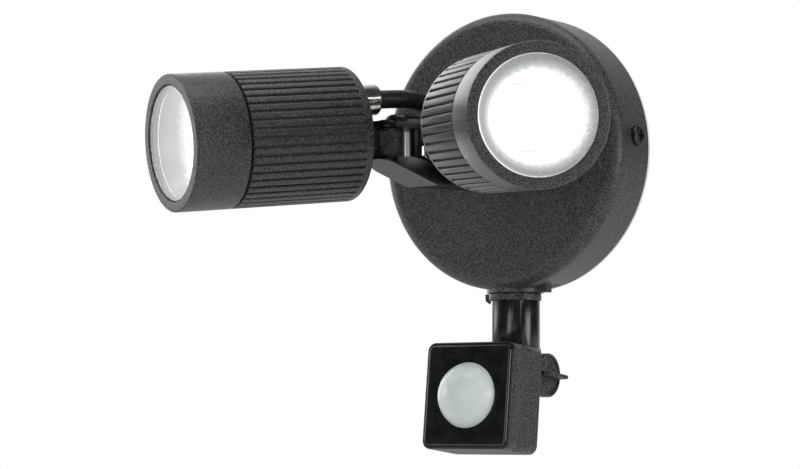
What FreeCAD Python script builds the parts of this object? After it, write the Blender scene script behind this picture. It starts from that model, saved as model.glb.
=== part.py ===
import FreeCAD, Part
import math
import os

# Motion sensor security light: a round wall canopy that carries two swivelling spot heads on a
# twin-arm casting, and a passive infrared sensor on a swivelling stem under the canopy.
# Millimetres. +Z is up, the wall is the plane Y = 0, and the light faces -Y.

V = FreeCAD.Vector
X_AXIS = V(1, 0, 0)
Y_AXIS = V(0, 1, 0)
Z_AXIS = V(0, 0, 1)
FORWARD = V(0, -1, 0)

# ---- fits ----
RUNNING = 0.05          # radial clearance of a pin or shaft that turns
LOOSE = 0.3             # gap between faces that pass each other
FIT = 0.1               # radial clearance of a piece that is pushed home

# ---- canopy and wall side ----
CANOPY_R = 70.0
CANOPY_DEPTH = 32.0     # wall to front face
CANOPY_WALL = 2.6
CANOPY_EDGE_R = 6.3
GASKET_T = 2.0
PLATE_T = 3.0
PLATE_R = 62.0
WALL_SLOT_SPACING = 84.0
WALL_SLOT_W = 5.0
WALL_SLOT_L = 12.0
ENTRY_R = 10.0          # hole for the supply cable in the wall plate
ENTRY_BORE_R = 6.0
SIDE_SCREW_Y = 14.0     # distance from the wall
SIDE_SCREW_Z = 5.0
SIDE_SCREW_R = 2.0
SIDE_HEAD_R = 5.0
SIDE_HEAD_T = 2.6
TAB_T = 3.0
TAB_W = 16.0
TAB_DEPTH = 20.0
NOTCH_X = 16.0
NOTCH_W = 10.0
NOTCH_DEPTH = 9.0
STOP_T = 5.0            # canopy's stop for the stem's collar
STOP_H = 6.0

# ---- terminal block and earth ----
BLOCK_W = 36.0
BLOCK_H = 15.0
BLOCK_D = 14.0
BLOCK_Z = 34.0
POLES = 3
POLE_PITCH = 11.0
TERMINAL_R = 1.7        # screws of the terminals and of the block's foot
WIRE_WAY_R = 2.2
BLOCK_FOOT_T = 3.0
BLOCK_FOOT_W = 8.0
BLOCK_FIX_X = 23.0
BLOCK_HEAD_R = 3.0
BLOCK_HEAD_T = 2.0
EARTH_X = -30.0
EARTH_Z = -22.0
EARTH_WASHER_R = 4.5
EARTH_WASHER_T = 1.0
EARTH_HEAD_R = 3.8
EARTH_HEAD_T = 2.4

# ---- twin arm casting ----
PIVOT_X = 26.0          # pan pin of each head, from the middle
PIVOT_Y = 91.0          # and from the wall
ARM_W = 18.0
GAP_TOP = 7.5           # the fork's gap for the knuckle
GAP_BOTTOM = -6.6
TOP_PLATE_T = 3.0
HOOD_TOP = 14.5
HOOD_R = 7.5
HOOD_SETBACK = 7.3      # hood's rounded end behind the pan pin
HOOD_EDGE_R = 2.5
CHEEK_BOTTOM = -12.0    # under the pan pin
CHEEK_TOP_SLOPE = 11.0
CHEEK_ROOT_BOTTOM = -20.0
CHEEK_RAMP = 21.3       # slope of the underside towards the canopy, degrees
CHEEK_CANT = 8.8        # and towards the outer side
WEB_T = 12.0
WEB_SETBACK = 13.5      # web's front end behind the pan pin
FOOT_W = 30.0
FOOT_T = 5.0
FOOT_TOP = 16.0
FOOT_CORNER_R = 6.0
BRACKET_SCREW_R = 2.5
BRACKET_HEAD_R = 4.6
BRACKET_HEAD_T = 3.0
CAP_NUT_SETBACK = 21.6
CAP_NUT_Z = -3.0
CAP_NUT_R = 5.2
CAP_NUT_HEX_L = 3.2
CAP_NUT_DOME_L = 4.5
WEB_HEAD_R = 4.4
WEB_HEAD_T = 2.4

# ---- pan and tilt joints of the heads ----
PAN_PIN_R = 4.0
PIN_BLIND = 3.0         # casting left above the pin in the hood
PIN_END = -9.4
SHOULDER_W = 16.6       # block in front of the knuckle's eye
SHOULDER_TOP = 5.1
SHOULDER_BOTTOM = -2.3
SHOULDER_CLEARANCE = 1.5  # shoulder to the tilt ears
SHOULDER_BACK = 2.2
EYE_R = 7.5
TONGUE_W = 6.0
TILT_REACH = 14.5       # pan pin to tilt bolt
TILT_Z = 0.5
TILT_EAR_R = 5.0
SHOULDER_REACH = TILT_REACH - TILT_EAR_R - SHOULDER_CLEARANCE
EAR_CORNER_R = 2.5
TILT_EAR_T = 5.0
TILT_BOLT_R = 2.5
TILT_HEAD_R = 4.6
TILT_HEAD_T = 3.0
TILT_SOCKET_R = 2.4
TILT_SOCKET_DEPTH = 1.7
TILT_NUT_R = 4.8
TILT_NUT_HEX_L = 3.4
TILT_NUT_DOME_L = 3.6
LEFT_YAW = -28.6        # degrees to the right of straight ahead
LEFT_PITCH = -5.5       # degrees above level
RIGHT_YAW = 47.1
RIGHT_PITCH = -3.65

# ---- lamp head ----
HEAD_R = 32.75
HEAD_LENGTH = 91.6
BODY_LENGTH = 63.0      # finned body, from the rear face to the seam
SEAM = 0.6
BORE_R = 27.8
BODY_EDGE_R = 1.5
SEAM_EDGE_R = 1.0
CAP_EDGE_R = 0.8
REAR_WALL = 5.0
REAR_BAND = 4.0
FIN_COUNT = 48
FIN_GROOVE_W = 1.1
FIN_GROOVE_DEPTH = 1.3
SPIGOT_R = 29.6
SPIGOT_L = 6.0
OPENING_R = 27.6
RIM_T = 3.0
SEAL_T = 0.8
GLASS_T = 3.0
HEAD_RISE = 4.0         # head axis above the tilt bolt
REAR_GAP = 8.0          # tilt bolt to the head's rear face
REFLECTOR_T = 1.0
REFLECTOR_DEPTH = 18.0
OPTIC_R = 15.2
OPTIC_T = 4.0
OPTIC_RISE = 2.4        # low dome on the LED lamp's lens
LAMP_NECK_R = 9.0
HOLDER_R = 12.0
HOLDER_L = 20.0
LAMP_PIN_R = 1.5
LAMP_PIN_L = 7.0
LAMP_PIN_X = 5.0

# ---- cable glands and leads ----
GLAND_RISE = 16.0       # gland above the head axis
GLAND_HEX_R = 9.0
GLAND_HEX_L = 5.0
GLAND_NUT_R = 7.6
GLAND_NUT_L = 7.5       # clamping nut of a canopy gland
HEAD_GLAND_NUT_L = 13.5 # and of a head's gland
GLAND_TAIL_R = 6.0
LEAD_R = 4.5
LEAD_ENTRY_X = 24.0
LEAD_ENTRY_Z = 21.0

# ---- sensor stem ----
STEM_Y = 15.5
STEM_R = 12.5
NECK_R = 11.0
BOSS_R = 14.4
BOSS_PROUD = 1.0        # boss's lower face below the canopy's edge
BOSS_H = 9.0
BOSS_BOTTOM = -(CANOPY_R + BOSS_PROUD)
BOSS_TOP = BOSS_BOTTOM + BOSS_H
COLLAR_T = 3.5
COLLAR_R = 13.2
COLLAR_TAB = 15.5
COLLAR_TAB_W = 8.0
GUSSET_H = 2.5
STOP_REACH = 20.0
STEM_NUT_T = 4.0
HINGE_DROP = 41.6       # boss's lower face to the sensor's hinge
HINGE_Z = BOSS_BOTTOM - HINGE_DROP
BARREL_R = 10.0
BARREL_W = 18.0
STEM_TAPER_L = 12.6     # hinge to the stem's round part
STEM_STRAIGHT_END = HINGE_Z + STEM_TAPER_L

# ---- sensor head ----
CASE_W = 51.0
CASE_H = 53.0
CASE_D = 27.0
CASE_CORNER_R = 4.5
CASE_WALL = 2.0
FRONT_D = 9.0
BEZEL_STEP = 1.0
BEZEL_INSET = 1.6
CASE_SEAL_T = 1.0
HINGE_TO_CASE = 16.5
CASE_DROP = 15.2
SENSOR_PITCH = 6.5
DOME_R = 16.2
DOME_HEIGHT = 12.0
DOME_WALL = 1.0
DOME_FLANGE_R = 19.0
BOARD_SIZE = 42.0
BOARD_T = 1.6
PYRO_R = 4.6
PYRO_H = 4.2
CASE_EAR_T = 6.0
CASE_EAR_R = 10.0
KNOB_R = 11.0
KNOB_T = 4.5
WING_T = 2.2
WING_REACH = 6.0
CLAMP_R = 2.5
CLAMP_NUT_R = 4.8
CLAMP_NUT_L = 3.5
DIAL_R = 4.0
DIAL_T = 2.6
DIAL_PITCH = 12.0
DIAL_LOW = 13.0         # dials below the middle of the case
DIAL_STEM_R = 1.8
CASE_SCREW_R = 1.3
CASE_SCREW_INSET = 6.5
CASE_HEAD_R = 2.3
CASE_HEAD_T = 1.8
HEAD_SUNK = 0.4         # screw head below the case's back
FRONT_POST_R = 2.8
REAR_POST_R = 3.4


def block(x0, x1, y0, y1, z0, z1):
    return Part.makeBox(x1 - x0, y1 - y0, z1 - z0, V(x0, y0, z0))


def rod(radius, base, direction, length):
    return Part.makeCylinder(radius, length, base, direction)


def ring(outer, inner, base, direction, length):
    return rod(outer, base, direction, length).cut(rod(inner, base, direction, length))


def lathe(profile):
    """Solid turned about the Y axis from (radius, distance in front of Y = 0) corners."""
    corners = [V(radius, -station, 0) for radius, station in profile]
    face = Part.Face(Part.makePolygon(corners + corners[:1]))
    return face.revolve(V(0, 0, 0), Y_AXIS, 360)


def dish(radius, start, end, edge_radius):
    """Round block about the Y axis whose front edge is rounded."""
    turn = V(radius - edge_radius, -(end - edge_radius), 0)
    middle = turn + V(edge_radius, -edge_radius, 0) * math.sqrt(0.5)
    skirt_end = V(radius, -(end - edge_radius), 0)
    face_edge = V(radius - edge_radius, -end, 0)
    wire = Part.Wire([
        Part.makeLine(V(0, -start, 0), V(radius, -start, 0)),
        Part.makeLine(V(radius, -start, 0), skirt_end),
        Part.Arc(skirt_end, middle, face_edge).toShape(),
        Part.makeLine(face_edge, V(0, -end, 0)),
        Part.makeLine(V(0, -end, 0), V(0, -start, 0)),
    ])
    return Part.Face(wire).revolve(V(0, 0, 0), Y_AXIS, 360)


def hexagon(circumradius, base, direction, length):
    """Hexagonal prism along direction, with a corner on +Z or +Y."""
    corners = []
    for k in range(7):
        a = math.radians(60 * k)
        corners.append(V(circumradius * math.sin(a), 0, circumradius * math.cos(a)))
    prism = Part.Face(Part.makePolygon(corners)).extrude(V(0, length, 0))
    prism.Placement = FreeCAD.Placement(base, FreeCAD.Rotation(Y_AXIS, direction))
    return prism


def extruded(points, x0, x1):
    """Outline in (y, z) carried from x0 to x1."""
    corners = [V(x0, y, z) for y, z in points]
    return Part.Face(Part.makePolygon(corners + corners[:1])).extrude(V(x1 - x0, 0, 0))


def rounded_slab(width, height, corner_r, y0, y1, z_mid=0.0):
    """Plate across Y with rounded corners in the front view."""
    slab = block(-width / 2, width / 2, y0, y1, z_mid - height / 2, z_mid + height / 2)
    edges = [e for e in slab.Edges if abs(e.BoundBox.YLength - abs(y1 - y0)) < 1e-6]
    return slab.makeFillet(corner_r, edges)


def spun(shape, centre, axis, degrees):
    moved = shape.copy()
    moved.rotate(centre, axis, degrees)
    return moved


def moved(shape, offset):
    copy = shape.copy()
    copy.translate(offset)
    return copy


def fused(pieces):
    whole = pieces[0]
    for piece in pieces[1:]:
        whole = whole.fuse(piece)
    return whole.removeSplitter()


def cut_all(shape, tools):
    for tool in tools:
        shape = shape.cut(tool)
    return shape


# ---- canopy ----

PLATE_FRONT = -PLATE_T
CANOPY_FRONT = -CANOPY_DEPTH
CANOPY_INNER_R = CANOPY_R - CANOPY_WALL
CANOPY_INNER_FRONT = -(CANOPY_DEPTH - CANOPY_WALL)
TAB_OUTER_X = CANOPY_INNER_R - 2 * LOOSE
ARM_REACH = math.hypot(PIVOT_X, PIVOT_Y - CANOPY_DEPTH)
ARM_SPREAD = math.degrees(math.atan2(PIVOT_X, PIVOT_Y - CANOPY_DEPTH))
ARM_TIP = ARM_REACH + ARM_W / 2
FLAT_END = ARM_REACH - ARM_W / 2
PIN_TOP = HOOD_TOP - PIN_BLIND
CHEEK_ROOT_TOP = GAP_BOTTOM - FLAT_END * math.tan(math.radians(CHEEK_TOP_SLOPE))
FOOT_BOTTOM = CHEEK_ROOT_BOTTOM
BRACKET_SCREWS = [(-FOOT_W / 3, FOOT_BOTTOM + 7), (FOOT_W / 3, FOOT_BOTTOM + 7), (0.0, FOOT_TOP - 14)]
SIDES = (-1, 1)


def canopy():
    shell = dish(CANOPY_R, GASKET_T, CANOPY_DEPTH, CANOPY_EDGE_R)
    inner_edge = CANOPY_EDGE_R - CANOPY_WALL
    shell = shell.cut(dish(CANOPY_INNER_R, 0, CANOPY_DEPTH - CANOPY_WALL, inner_edge))
    stem_base = V(0, -STEM_Y, BOSS_BOTTOM)
    boss = rod(BOSS_R, stem_base, Z_AXIS, BOSS_H)
    half = STOP_T / 2
    stop = block(0, STOP_REACH, -STEM_Y - half, -STEM_Y + half, BOSS_BOTTOM, BOSS_BOTTOM + STOP_H)
    room = block(-CANOPY_R, CANOPY_R, CANOPY_FRONT, -PLATE_T - LOOSE, -2 * CANOPY_R, 0)
    shell = shell.fuse(fused([boss, stop]).common(room))
    cuts = [rod(NECK_R + RUNNING, stem_base - Z_AXIS, Z_AXIS, BOSS_H + 2)]
    notch_x = NOTCH_X - NOTCH_W / 2
    notch_end = -NOTCH_DEPTH - GASKET_T
    cuts.append(block(notch_x, notch_x + NOTCH_W, notch_end, 0, -CANOPY_R - 1, -CANOPY_R * 0.8))
    for side in SIDES:
        hole_at = V(side * (CANOPY_R + 1), -SIDE_SCREW_Y, SIDE_SCREW_Z)
        cuts.append(rod(SIDE_SCREW_R + LOOSE, hole_at, V(-side, 0, 0), CANOPY_WALL + 4))
        lead_at = V(side * LEAD_ENTRY_X, CANOPY_FRONT - 1, LEAD_ENTRY_Z)
        cuts.append(rod(GLAND_TAIL_R + FIT, lead_at, Y_AXIS, CANOPY_WALL + 2))
    for x, z in BRACKET_SCREWS:
        cuts.append(rod(BRACKET_SCREW_R + FIT, V(x, CANOPY_FRONT - 1, z), Y_AXIS, CANOPY_WALL + 2))
    return cut_all(shell, cuts)


def wall_gasket():
    band = ring(CANOPY_R - 0.3, CANOPY_INNER_R + 0.2, V(0, 0, 0), FORWARD, GASKET_T)
    return band


def wall_plate():
    plate = rod(PLATE_R, V(0, 0, 0), FORWARD, PLATE_T)
    for side in SIDES:
        outer = side * TAB_OUTER_X
        strip_x = sorted((side * PLATE_R * 0.8, outer))
        tab_x = sorted((side * (TAB_OUTER_X - TAB_T), outer))
        low = SIDE_SCREW_Z - TAB_W / 2
        strip = block(strip_x[0], strip_x[1], PLATE_FRONT, 0, low, low + TAB_W)
        tab = block(tab_x[0], tab_x[1], -TAB_DEPTH, 0, low, low + TAB_W)
        inside = rod(CANOPY_INNER_R - LOOSE, V(0, 0, 0), FORWARD, TAB_DEPTH)
        plate = plate.fuse(strip.fuse(tab).common(inside))
    stem_room = block(-BOSS_R - 3, BOSS_R + 3, PLATE_FRONT - 1, 1, -PLATE_R - 1, BOSS_TOP + 14)
    cuts = [stem_room, rod(ENTRY_R, V(0, 1, 0), FORWARD, PLATE_T + 2)]
    for side in SIDES:
        half = (WALL_SLOT_L - WALL_SLOT_W) / 2
        x = side * WALL_SLOT_SPACING / 2
        for end in SIDES:
            cuts.append(rod(WALL_SLOT_W / 2, V(x + end * half, 1, 0), FORWARD, PLATE_T + 2))
        cuts.append(block(x - half, x + half, PLATE_FRONT - 1, 1, -WALL_SLOT_W / 2, WALL_SLOT_W / 2))
        tab_hole = V(side * (TAB_OUTER_X + 1), -SIDE_SCREW_Y, SIDE_SCREW_Z)
        cuts.append(rod(SIDE_SCREW_R + FIT / 2, tab_hole, V(-side, 0, 0), TAB_T + 2))
    cuts.append(rod(SIDE_SCREW_R + FIT / 2, V(EARTH_X, 1, EARTH_Z), FORWARD, PLATE_T + 2))
    for side in SIDES:
        cuts.append(rod(TERMINAL_R, V(side * BLOCK_FIX_X, 1, BLOCK_Z), FORWARD, PLATE_T + 2))
    return cut_all(plate, cuts).removeSplitter()


def cross_recess(centre, direction, width, depth):
    """Cross-shaped cutter that enters a screw head along direction."""
    bar_x = Part.makeBox(width, width / 4, depth, V(-width / 2, -width / 8, 0))
    bar_y = Part.makeBox(width / 4, width, depth, V(-width / 8, -width / 2, 0))
    cross = bar_x.fuse(bar_y)
    cross.Placement = FreeCAD.Placement(centre, FreeCAD.Rotation(Z_AXIS, direction))
    return cross


def pan_screw(head_face, direction, head_r, head_t, shank_r, shank_l):
    """Pan-head cross screw: head_face is the middle of the head's outer face."""
    head = rod(head_r, head_face, direction, head_t)
    crown = [e for e in head.Edges if abs(e.BoundBox.Center.distanceToPoint(head_face)) < 1e-3]
    head = head.makeFillet(head_t * 0.55, crown[:1])
    shank = rod(shank_r, head_face + direction * head_t, direction, shank_l)
    recess = cross_recess(head_face - direction * 0.01, direction, head_r * 1.1, head_t * 0.6)
    return head.fuse(shank).cut(recess)


def canopy_screws():
    reach = CANOPY_R - (TAB_OUTER_X - TAB_T) + 2
    return [
        pan_screw(V(side * (CANOPY_R + SIDE_HEAD_T), -SIDE_SCREW_Y, SIDE_SCREW_Z), V(-side, 0, 0),
                  SIDE_HEAD_R, SIDE_HEAD_T, SIDE_SCREW_R, reach)
        for side in SIDES
    ]


def entry_grommet():
    sleeve = ring(ENTRY_R - FIT / 2, ENTRY_BORE_R, V(0, 0, 0), FORWARD, PLATE_T)
    flange = ring(ENTRY_R + 3, ENTRY_BORE_R, V(0, PLATE_FRONT, 0), FORWARD, 2.0)
    return fused([sleeve, flange])


def terminal_block():
    body = block(-BLOCK_W / 2, BLOCK_W / 2, PLATE_FRONT - BLOCK_D, PLATE_FRONT, -BLOCK_H / 2, BLOCK_H / 2)
    foot_x = BLOCK_FIX_X + BLOCK_FOOT_W / 2
    foot_z = BLOCK_FOOT_W / 2
    foot = block(-foot_x, foot_x, PLATE_FRONT - BLOCK_FOOT_T, PLATE_FRONT, -foot_z, foot_z)
    body = moved(body.fuse(foot), V(0, 0, BLOCK_Z))
    cuts = []
    for pole in range(POLES):
        x = (pole - (POLES - 1) / 2) * POLE_PITCH
        cuts.append(rod(WIRE_WAY_R, V(x, PLATE_FRONT - 5, BLOCK_Z - BLOCK_H), Z_AXIS, 2 * BLOCK_H))
        for side in SIDES:
            z = BLOCK_Z + side * BLOCK_H / 4
            cuts.append(rod(TERMINAL_R + FIT, V(x, PLATE_FRONT - BLOCK_D - 1, z), Y_AXIS, BLOCK_D - 5))
    for side in SIDES:
        cuts.append(rod(TERMINAL_R, V(side * BLOCK_FIX_X, PLATE_FRONT - BLOCK_D, BLOCK_Z), Y_AXIS, BLOCK_D))
    return cut_all(body, cuts).removeSplitter()


def terminal_screws():
    screws = []
    for pole in range(POLES):
        x = (pole - (POLES - 1) / 2) * POLE_PITCH
        for side in SIDES:
            top = V(x, PLATE_FRONT - BLOCK_D + 1.5, BLOCK_Z + side * BLOCK_H / 4)
            screw = rod(TERMINAL_R, top, Y_AXIS, BLOCK_D - 7.5)
            slot = block(-TERMINAL_R, TERMINAL_R, -0.01, 0.8, -0.3, 0.3)
            screws.append(screw.cut(moved(slot, top)))
    for side in SIDES:
        head_face = V(side * BLOCK_FIX_X, PLATE_FRONT - BLOCK_FOOT_T - BLOCK_HEAD_T, BLOCK_Z)
        shank_l = BLOCK_FOOT_T + PLATE_T - 0.5
        shank_r = TERMINAL_R - FIT / 2
        screws.append(pan_screw(head_face, Y_AXIS, BLOCK_HEAD_R, BLOCK_HEAD_T, shank_r, shank_l))
    return screws


def earth_screw():
    washer = rod(EARTH_WASHER_R, V(EARTH_X, PLATE_FRONT, EARTH_Z), FORWARD, EARTH_WASHER_T)
    head_face = V(EARTH_X, PLATE_FRONT - EARTH_WASHER_T - EARTH_HEAD_T, EARTH_Z)
    screw = pan_screw(head_face, Y_AXIS, EARTH_HEAD_R, EARTH_HEAD_T, SIDE_SCREW_R, PLATE_T + 0.6)
    return fused([washer, screw])


# ---- twin arm casting ----

def arm_frame(side, shape):
    """Arm built straight ahead from Y = 0, swung out and set on the canopy."""
    swung = spun(shape, V(0, 0, 0), Z_AXIS, side * ARM_SPREAD)
    return moved(swung, V(0, CANOPY_FRONT, 0))


def arm(side):
    half = ARM_W / 2
    pivot = V(0, -ARM_REACH, 0)
    top = block(-half, half, -ARM_REACH, 0, GAP_TOP, GAP_TOP + TOP_PLATE_T)
    top = top.fuse(rod(half, pivot + V(0, 0, GAP_TOP), Z_AXIS, TOP_PLATE_T))
    hood_end = ARM_REACH - HOOD_SETBACK
    hood_base = GAP_TOP + TOP_PLATE_T / 2
    hood = block(-HOOD_R, HOOD_R, -hood_end, 0, hood_base, HOOD_TOP)
    hood = hood.fuse(rod(HOOD_R, V(0, -hood_end, hood_base), Z_AXIS, HOOD_TOP - hood_base)).removeSplitter()
    crown = [e for e in hood.Edges if e.BoundBox.ZMin > HOOD_TOP - 1e-3 and e.BoundBox.YMin < -1.0]
    hood = hood.makeFillet(HOOD_EDGE_R, crown)
    cheek = extruded([
        (-ARM_TIP, GAP_BOTTOM), (-FLAT_END, GAP_BOTTOM), (0, CHEEK_ROOT_TOP),
        (0, CHEEK_ROOT_BOTTOM), (-ARM_TIP, CHEEK_ROOT_BOTTOM),
    ], -half, half)
    plan = rod(half, pivot + V(0, 0, CHEEK_ROOT_BOTTOM), Z_AXIS, GAP_TOP - CHEEK_ROOT_BOTTOM)
    plan = plan.fuse(block(-half, half, -ARM_REACH, 0, CHEEK_ROOT_BOTTOM, GAP_TOP))
    under = block(-2 * ARM_W, 2 * ARM_W, -ARM_REACH, ARM_REACH, -ARM_REACH, 0)
    under = spun(spun(under, V(0, 0, 0), X_AXIS, -CHEEK_RAMP), V(0, 0, 0), Y_AXIS, side * CHEEK_CANT)
    cheek = cheek.common(plan).cut(moved(under, pivot + V(0, 0, CHEEK_BOTTOM)))
    outer = side * half
    inner = side * (half - WEB_T)
    web_end = -ARM_REACH + WEB_SETBACK
    web = extruded([
        (web_end, GAP_TOP + 1), (0, GAP_TOP + 1), (0, CHEEK_ROOT_TOP - 1),
        (-FLAT_END, GAP_BOTTOM - 1), (web_end, GAP_BOTTOM - 1),
    ], min(inner, outer), max(inner, outer))
    front_edges = [e for e in web.Edges if abs(e.BoundBox.YMax - web_end) < 1e-6 and e.BoundBox.ZLength > 1]
    web = web.makeFillet(WEB_T * 0.4, front_edges)
    solid = fused([top, hood, cheek, web])
    below = pivot + V(0, 0, CHEEK_ROOT_BOTTOM - 1)
    cuts = [rod(PAN_PIN_R + RUNNING, below, Z_AXIS, PIN_TOP + LOOSE - below.z)]
    nut_at = V(side * (half + 1), -ARM_REACH + CAP_NUT_SETBACK, CAP_NUT_Z)
    cuts.append(rod(TILT_BOLT_R + FIT / 2, nut_at, V(-side, 0, 0), WEB_T + 2))
    return cut_all(solid, cuts)


def arm_bracket():
    foot = block(-FOOT_W / 2, FOOT_W / 2, CANOPY_FRONT - FOOT_T, CANOPY_FRONT, FOOT_BOTTOM, FOOT_TOP)
    corner_edges = [e for e in foot.Edges if e.BoundBox.YLength > FOOT_T - 0.1]
    foot = foot.makeFillet(FOOT_CORNER_R, corner_edges)
    arms = [arm_frame(side, arm(side)) for side in SIDES]
    front_side = block(-CANOPY_R, CANOPY_R, -3 * CANOPY_R, CANOPY_FRONT, -CANOPY_R, CANOPY_R)
    casting = fused([foot] + arms).common(front_side)
    holes = [
        rod(BRACKET_SCREW_R + RUNNING, V(x, CANOPY_FRONT + 1, z), FORWARD, FOOT_T + 6)
        for x, z in BRACKET_SCREWS
    ]
    return cut_all(casting, holes)


def bracket_screws():
    face_y = CANOPY_INNER_FRONT + BRACKET_HEAD_T
    shank_l = CANOPY_WALL + FOOT_T - 0.5
    return [
        pan_screw(V(x, face_y, z), FORWARD, BRACKET_HEAD_R, BRACKET_HEAD_T, BRACKET_SCREW_R, shank_l)
        for x, z in BRACKET_SCREWS
    ]


def pan_pin(side):
    """Grooved pin pressed up through cheek and knuckle into the hood."""
    return arm_frame(side, rod(PAN_PIN_R, V(0, -ARM_REACH, PIN_END), Z_AXIS, PIN_TOP - PIN_END))


def cap_nut(face, direction, radius, hex_l, dome_l):
    """Domed nut whose flat face sits at face."""
    hexa = hexagon(radius, face, direction, hex_l)
    hexa = hexa.common(rod(radius * 0.97, face, direction, hex_l))
    dome = Part.makeSphere(radius * 0.8, face + direction * hex_l, direction, 0, 90, 360)
    core = rod(radius * 0.8, face, direction, hex_l)
    return fused([hexa, core, dome]).common(rod(radius, face, direction, hex_l + dome_l))


def web_bolts():
    """Domed nut and round-head screw through each arm's web."""
    bolts = []
    for side in SIDES:
        inward = V(-side, 0, 0)
        seat = V(side * (ARM_W / 2 - WEB_T), -ARM_REACH + CAP_NUT_SETBACK, CAP_NUT_Z)
        nut = cap_nut(seat, inward, CAP_NUT_R, CAP_NUT_HEX_L, CAP_NUT_DOME_L)
        head_seat = V(side * ARM_W / 2, seat.y, seat.z)
        bolt = rod(TILT_BOLT_R, head_seat, inward, WEB_T + CAP_NUT_HEX_L)
        head = rod(WEB_HEAD_R, head_seat, -inward, WEB_HEAD_T)
        bolts.append(arm_frame(side, fused([nut, bolt, head])))
    return bolts


# ---- knuckles and heads ----

HEADS = {
    "left": {"side": -1, "yaw": LEFT_YAW, "pitch": LEFT_PITCH},
    "right": {"side": 1, "yaw": RIGHT_YAW, "pitch": RIGHT_PITCH},
}
EAR_INNER = TONGUE_W / 2 + LOOSE
EAR_OUTER = EAR_INNER + TILT_EAR_T


def knuckle_frame(name, shape):
    """From the pan pin's own frame, facing -Y, to the light's frame."""
    head = HEADS[name]
    turned = spun(shape, V(0, 0, 0), Z_AXIS, head["yaw"])
    return moved(turned, V(head["side"] * PIVOT_X, -PIVOT_Y, 0))


def tilt_frame(name, shape):
    """From the tilt bolt's own frame to the light's frame."""
    tipped = spun(shape, V(0, 0, 0), X_AXIS, -HEADS[name]["pitch"])
    return knuckle_frame(name, moved(tipped, V(0, -TILT_REACH, TILT_Z)))


def head_frame(name, shape):
    """From a frame on the head's axis, with its rear face at Y = 0, to the light's frame."""
    return tilt_frame(name, moved(shape, V(0, -REAR_GAP, HEAD_RISE)))


def knuckle(name):
    low = GAP_BOTTOM + LOOSE
    eye = rod(EYE_R, V(0, 0, low), Z_AXIS, GAP_TOP - LOOSE - low)
    tilt_at = V(-TONGUE_W / 2, -TILT_REACH, TILT_Z)
    tongue = block(-TONGUE_W / 2, TONGUE_W / 2, -TILT_REACH, 0, TILT_Z - TILT_EAR_R, TILT_Z + TILT_EAR_R)
    tongue = tongue.fuse(rod(TILT_EAR_R, tilt_at, X_AXIS, TONGUE_W))
    half = SHOULDER_W / 2
    shoulder = block(-half, half, -SHOULDER_REACH, -SHOULDER_BACK, SHOULDER_BOTTOM, SHOULDER_TOP)
    solid = fused([eye, tongue, shoulder])
    cuts = [
        rod(PAN_PIN_R + RUNNING, V(0, 0, low - 1), Z_AXIS, GAP_TOP - low + 1),
        rod(TILT_BOLT_R + RUNNING, tilt_at - X_AXIS, X_AXIS, TONGUE_W + 2),
    ]
    return knuckle_frame(name, cut_all(solid, cuts))


def head_body(name):
    shell = dish(HEAD_R, 0, BODY_LENGTH, SEAM_EDGE_R)
    shell = shell.fuse(rod(SPIGOT_R, V(0, -BODY_LENGTH + 2, 0), FORWARD, SPIGOT_L + 2))
    rear_edge = [e for e in shell.Edges if e.BoundBox.YMin > -1e-3 and e.BoundBox.XLength > HEAD_R]
    shell = shell.makeFillet(BODY_EDGE_R, rear_edge)
    groove = block(-FIN_GROOVE_W / 2, FIN_GROOVE_W / 2, -BODY_LENGTH - 1, -REAR_BAND,
                   HEAD_R - FIN_GROOVE_DEPTH, HEAD_R + 2)
    grooves = [spun(groove, V(0, 0, 0), Y_AXIS, 360 * (k + 0.5) / FIN_COUNT) for k in range(FIN_COUNT)]
    shell = shell.cut(Part.makeCompound(grooves))
    shell = shell.cut(rod(BORE_R, V(0, -REAR_WALL, 0), FORWARD, BODY_LENGTH + SPIGOT_L))
    for side in SIDES:
        x = EAR_INNER if side > 0 else -EAR_OUTER
        ear_end = REAR_GAP + TILT_EAR_R
        ear = block(x, x + TILT_EAR_T, -2, ear_end, -TILT_EAR_R, TILT_EAR_R)
        ear = moved(ear, V(0, 0, -HEAD_RISE))
        end_corners = [e for e in ear.Edges if e.BoundBox.YMin > ear_end - 1e-3 and e.BoundBox.XLength > 1]
        shell = shell.fuse(ear.makeFillet(EAR_CORNER_R, end_corners))
    bolt_at = V(-EAR_OUTER - 1, REAR_GAP, -HEAD_RISE)
    bolt_hole = rod(TILT_BOLT_R + RUNNING, bolt_at, X_AXIS, 2 * EAR_OUTER + 2)
    gland_hole = rod(GLAND_TAIL_R + FIT, V(0, 1, GLAND_RISE), FORWARD, REAR_WALL + 2)
    return head_frame(name, cut_all(shell, [bolt_hole, gland_hole]))


RIM_BACK = HEAD_LENGTH - RIM_T
GLASS_FRONT = RIM_BACK - SEAL_T
GLASS_BACK = GLASS_FRONT - GLASS_T
CAP_BORE_R = SPIGOT_R + FIT
OPTIC_BACK = GLASS_BACK - REFLECTOR_DEPTH - OPTIC_T / 2
LAMP_BACK = REAR_WALL + HOLDER_L


def front_cap(name):
    cap = dish(HEAD_R, BODY_LENGTH + SEAM, HEAD_LENGTH, CAP_EDGE_R)
    cap = cap.cut(rod(CAP_BORE_R, V(0, 0, 0), FORWARD, RIM_BACK))
    cap = cap.cut(rod(OPENING_R, V(0, 0, 0), FORWARD, HEAD_LENGTH + 1))
    return head_frame(name, cap)


def glass_seal(name):
    seal = ring(CAP_BORE_R - FIT, OPENING_R - 0.8, V(0, -GLASS_FRONT, 0), FORWARD, SEAL_T)
    return head_frame(name, seal)


def front_glass(name):
    pane = rod(CAP_BORE_R - FIT, V(0, -GLASS_BACK, 0), FORWARD, GLASS_T)
    return head_frame(name, pane)


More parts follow.
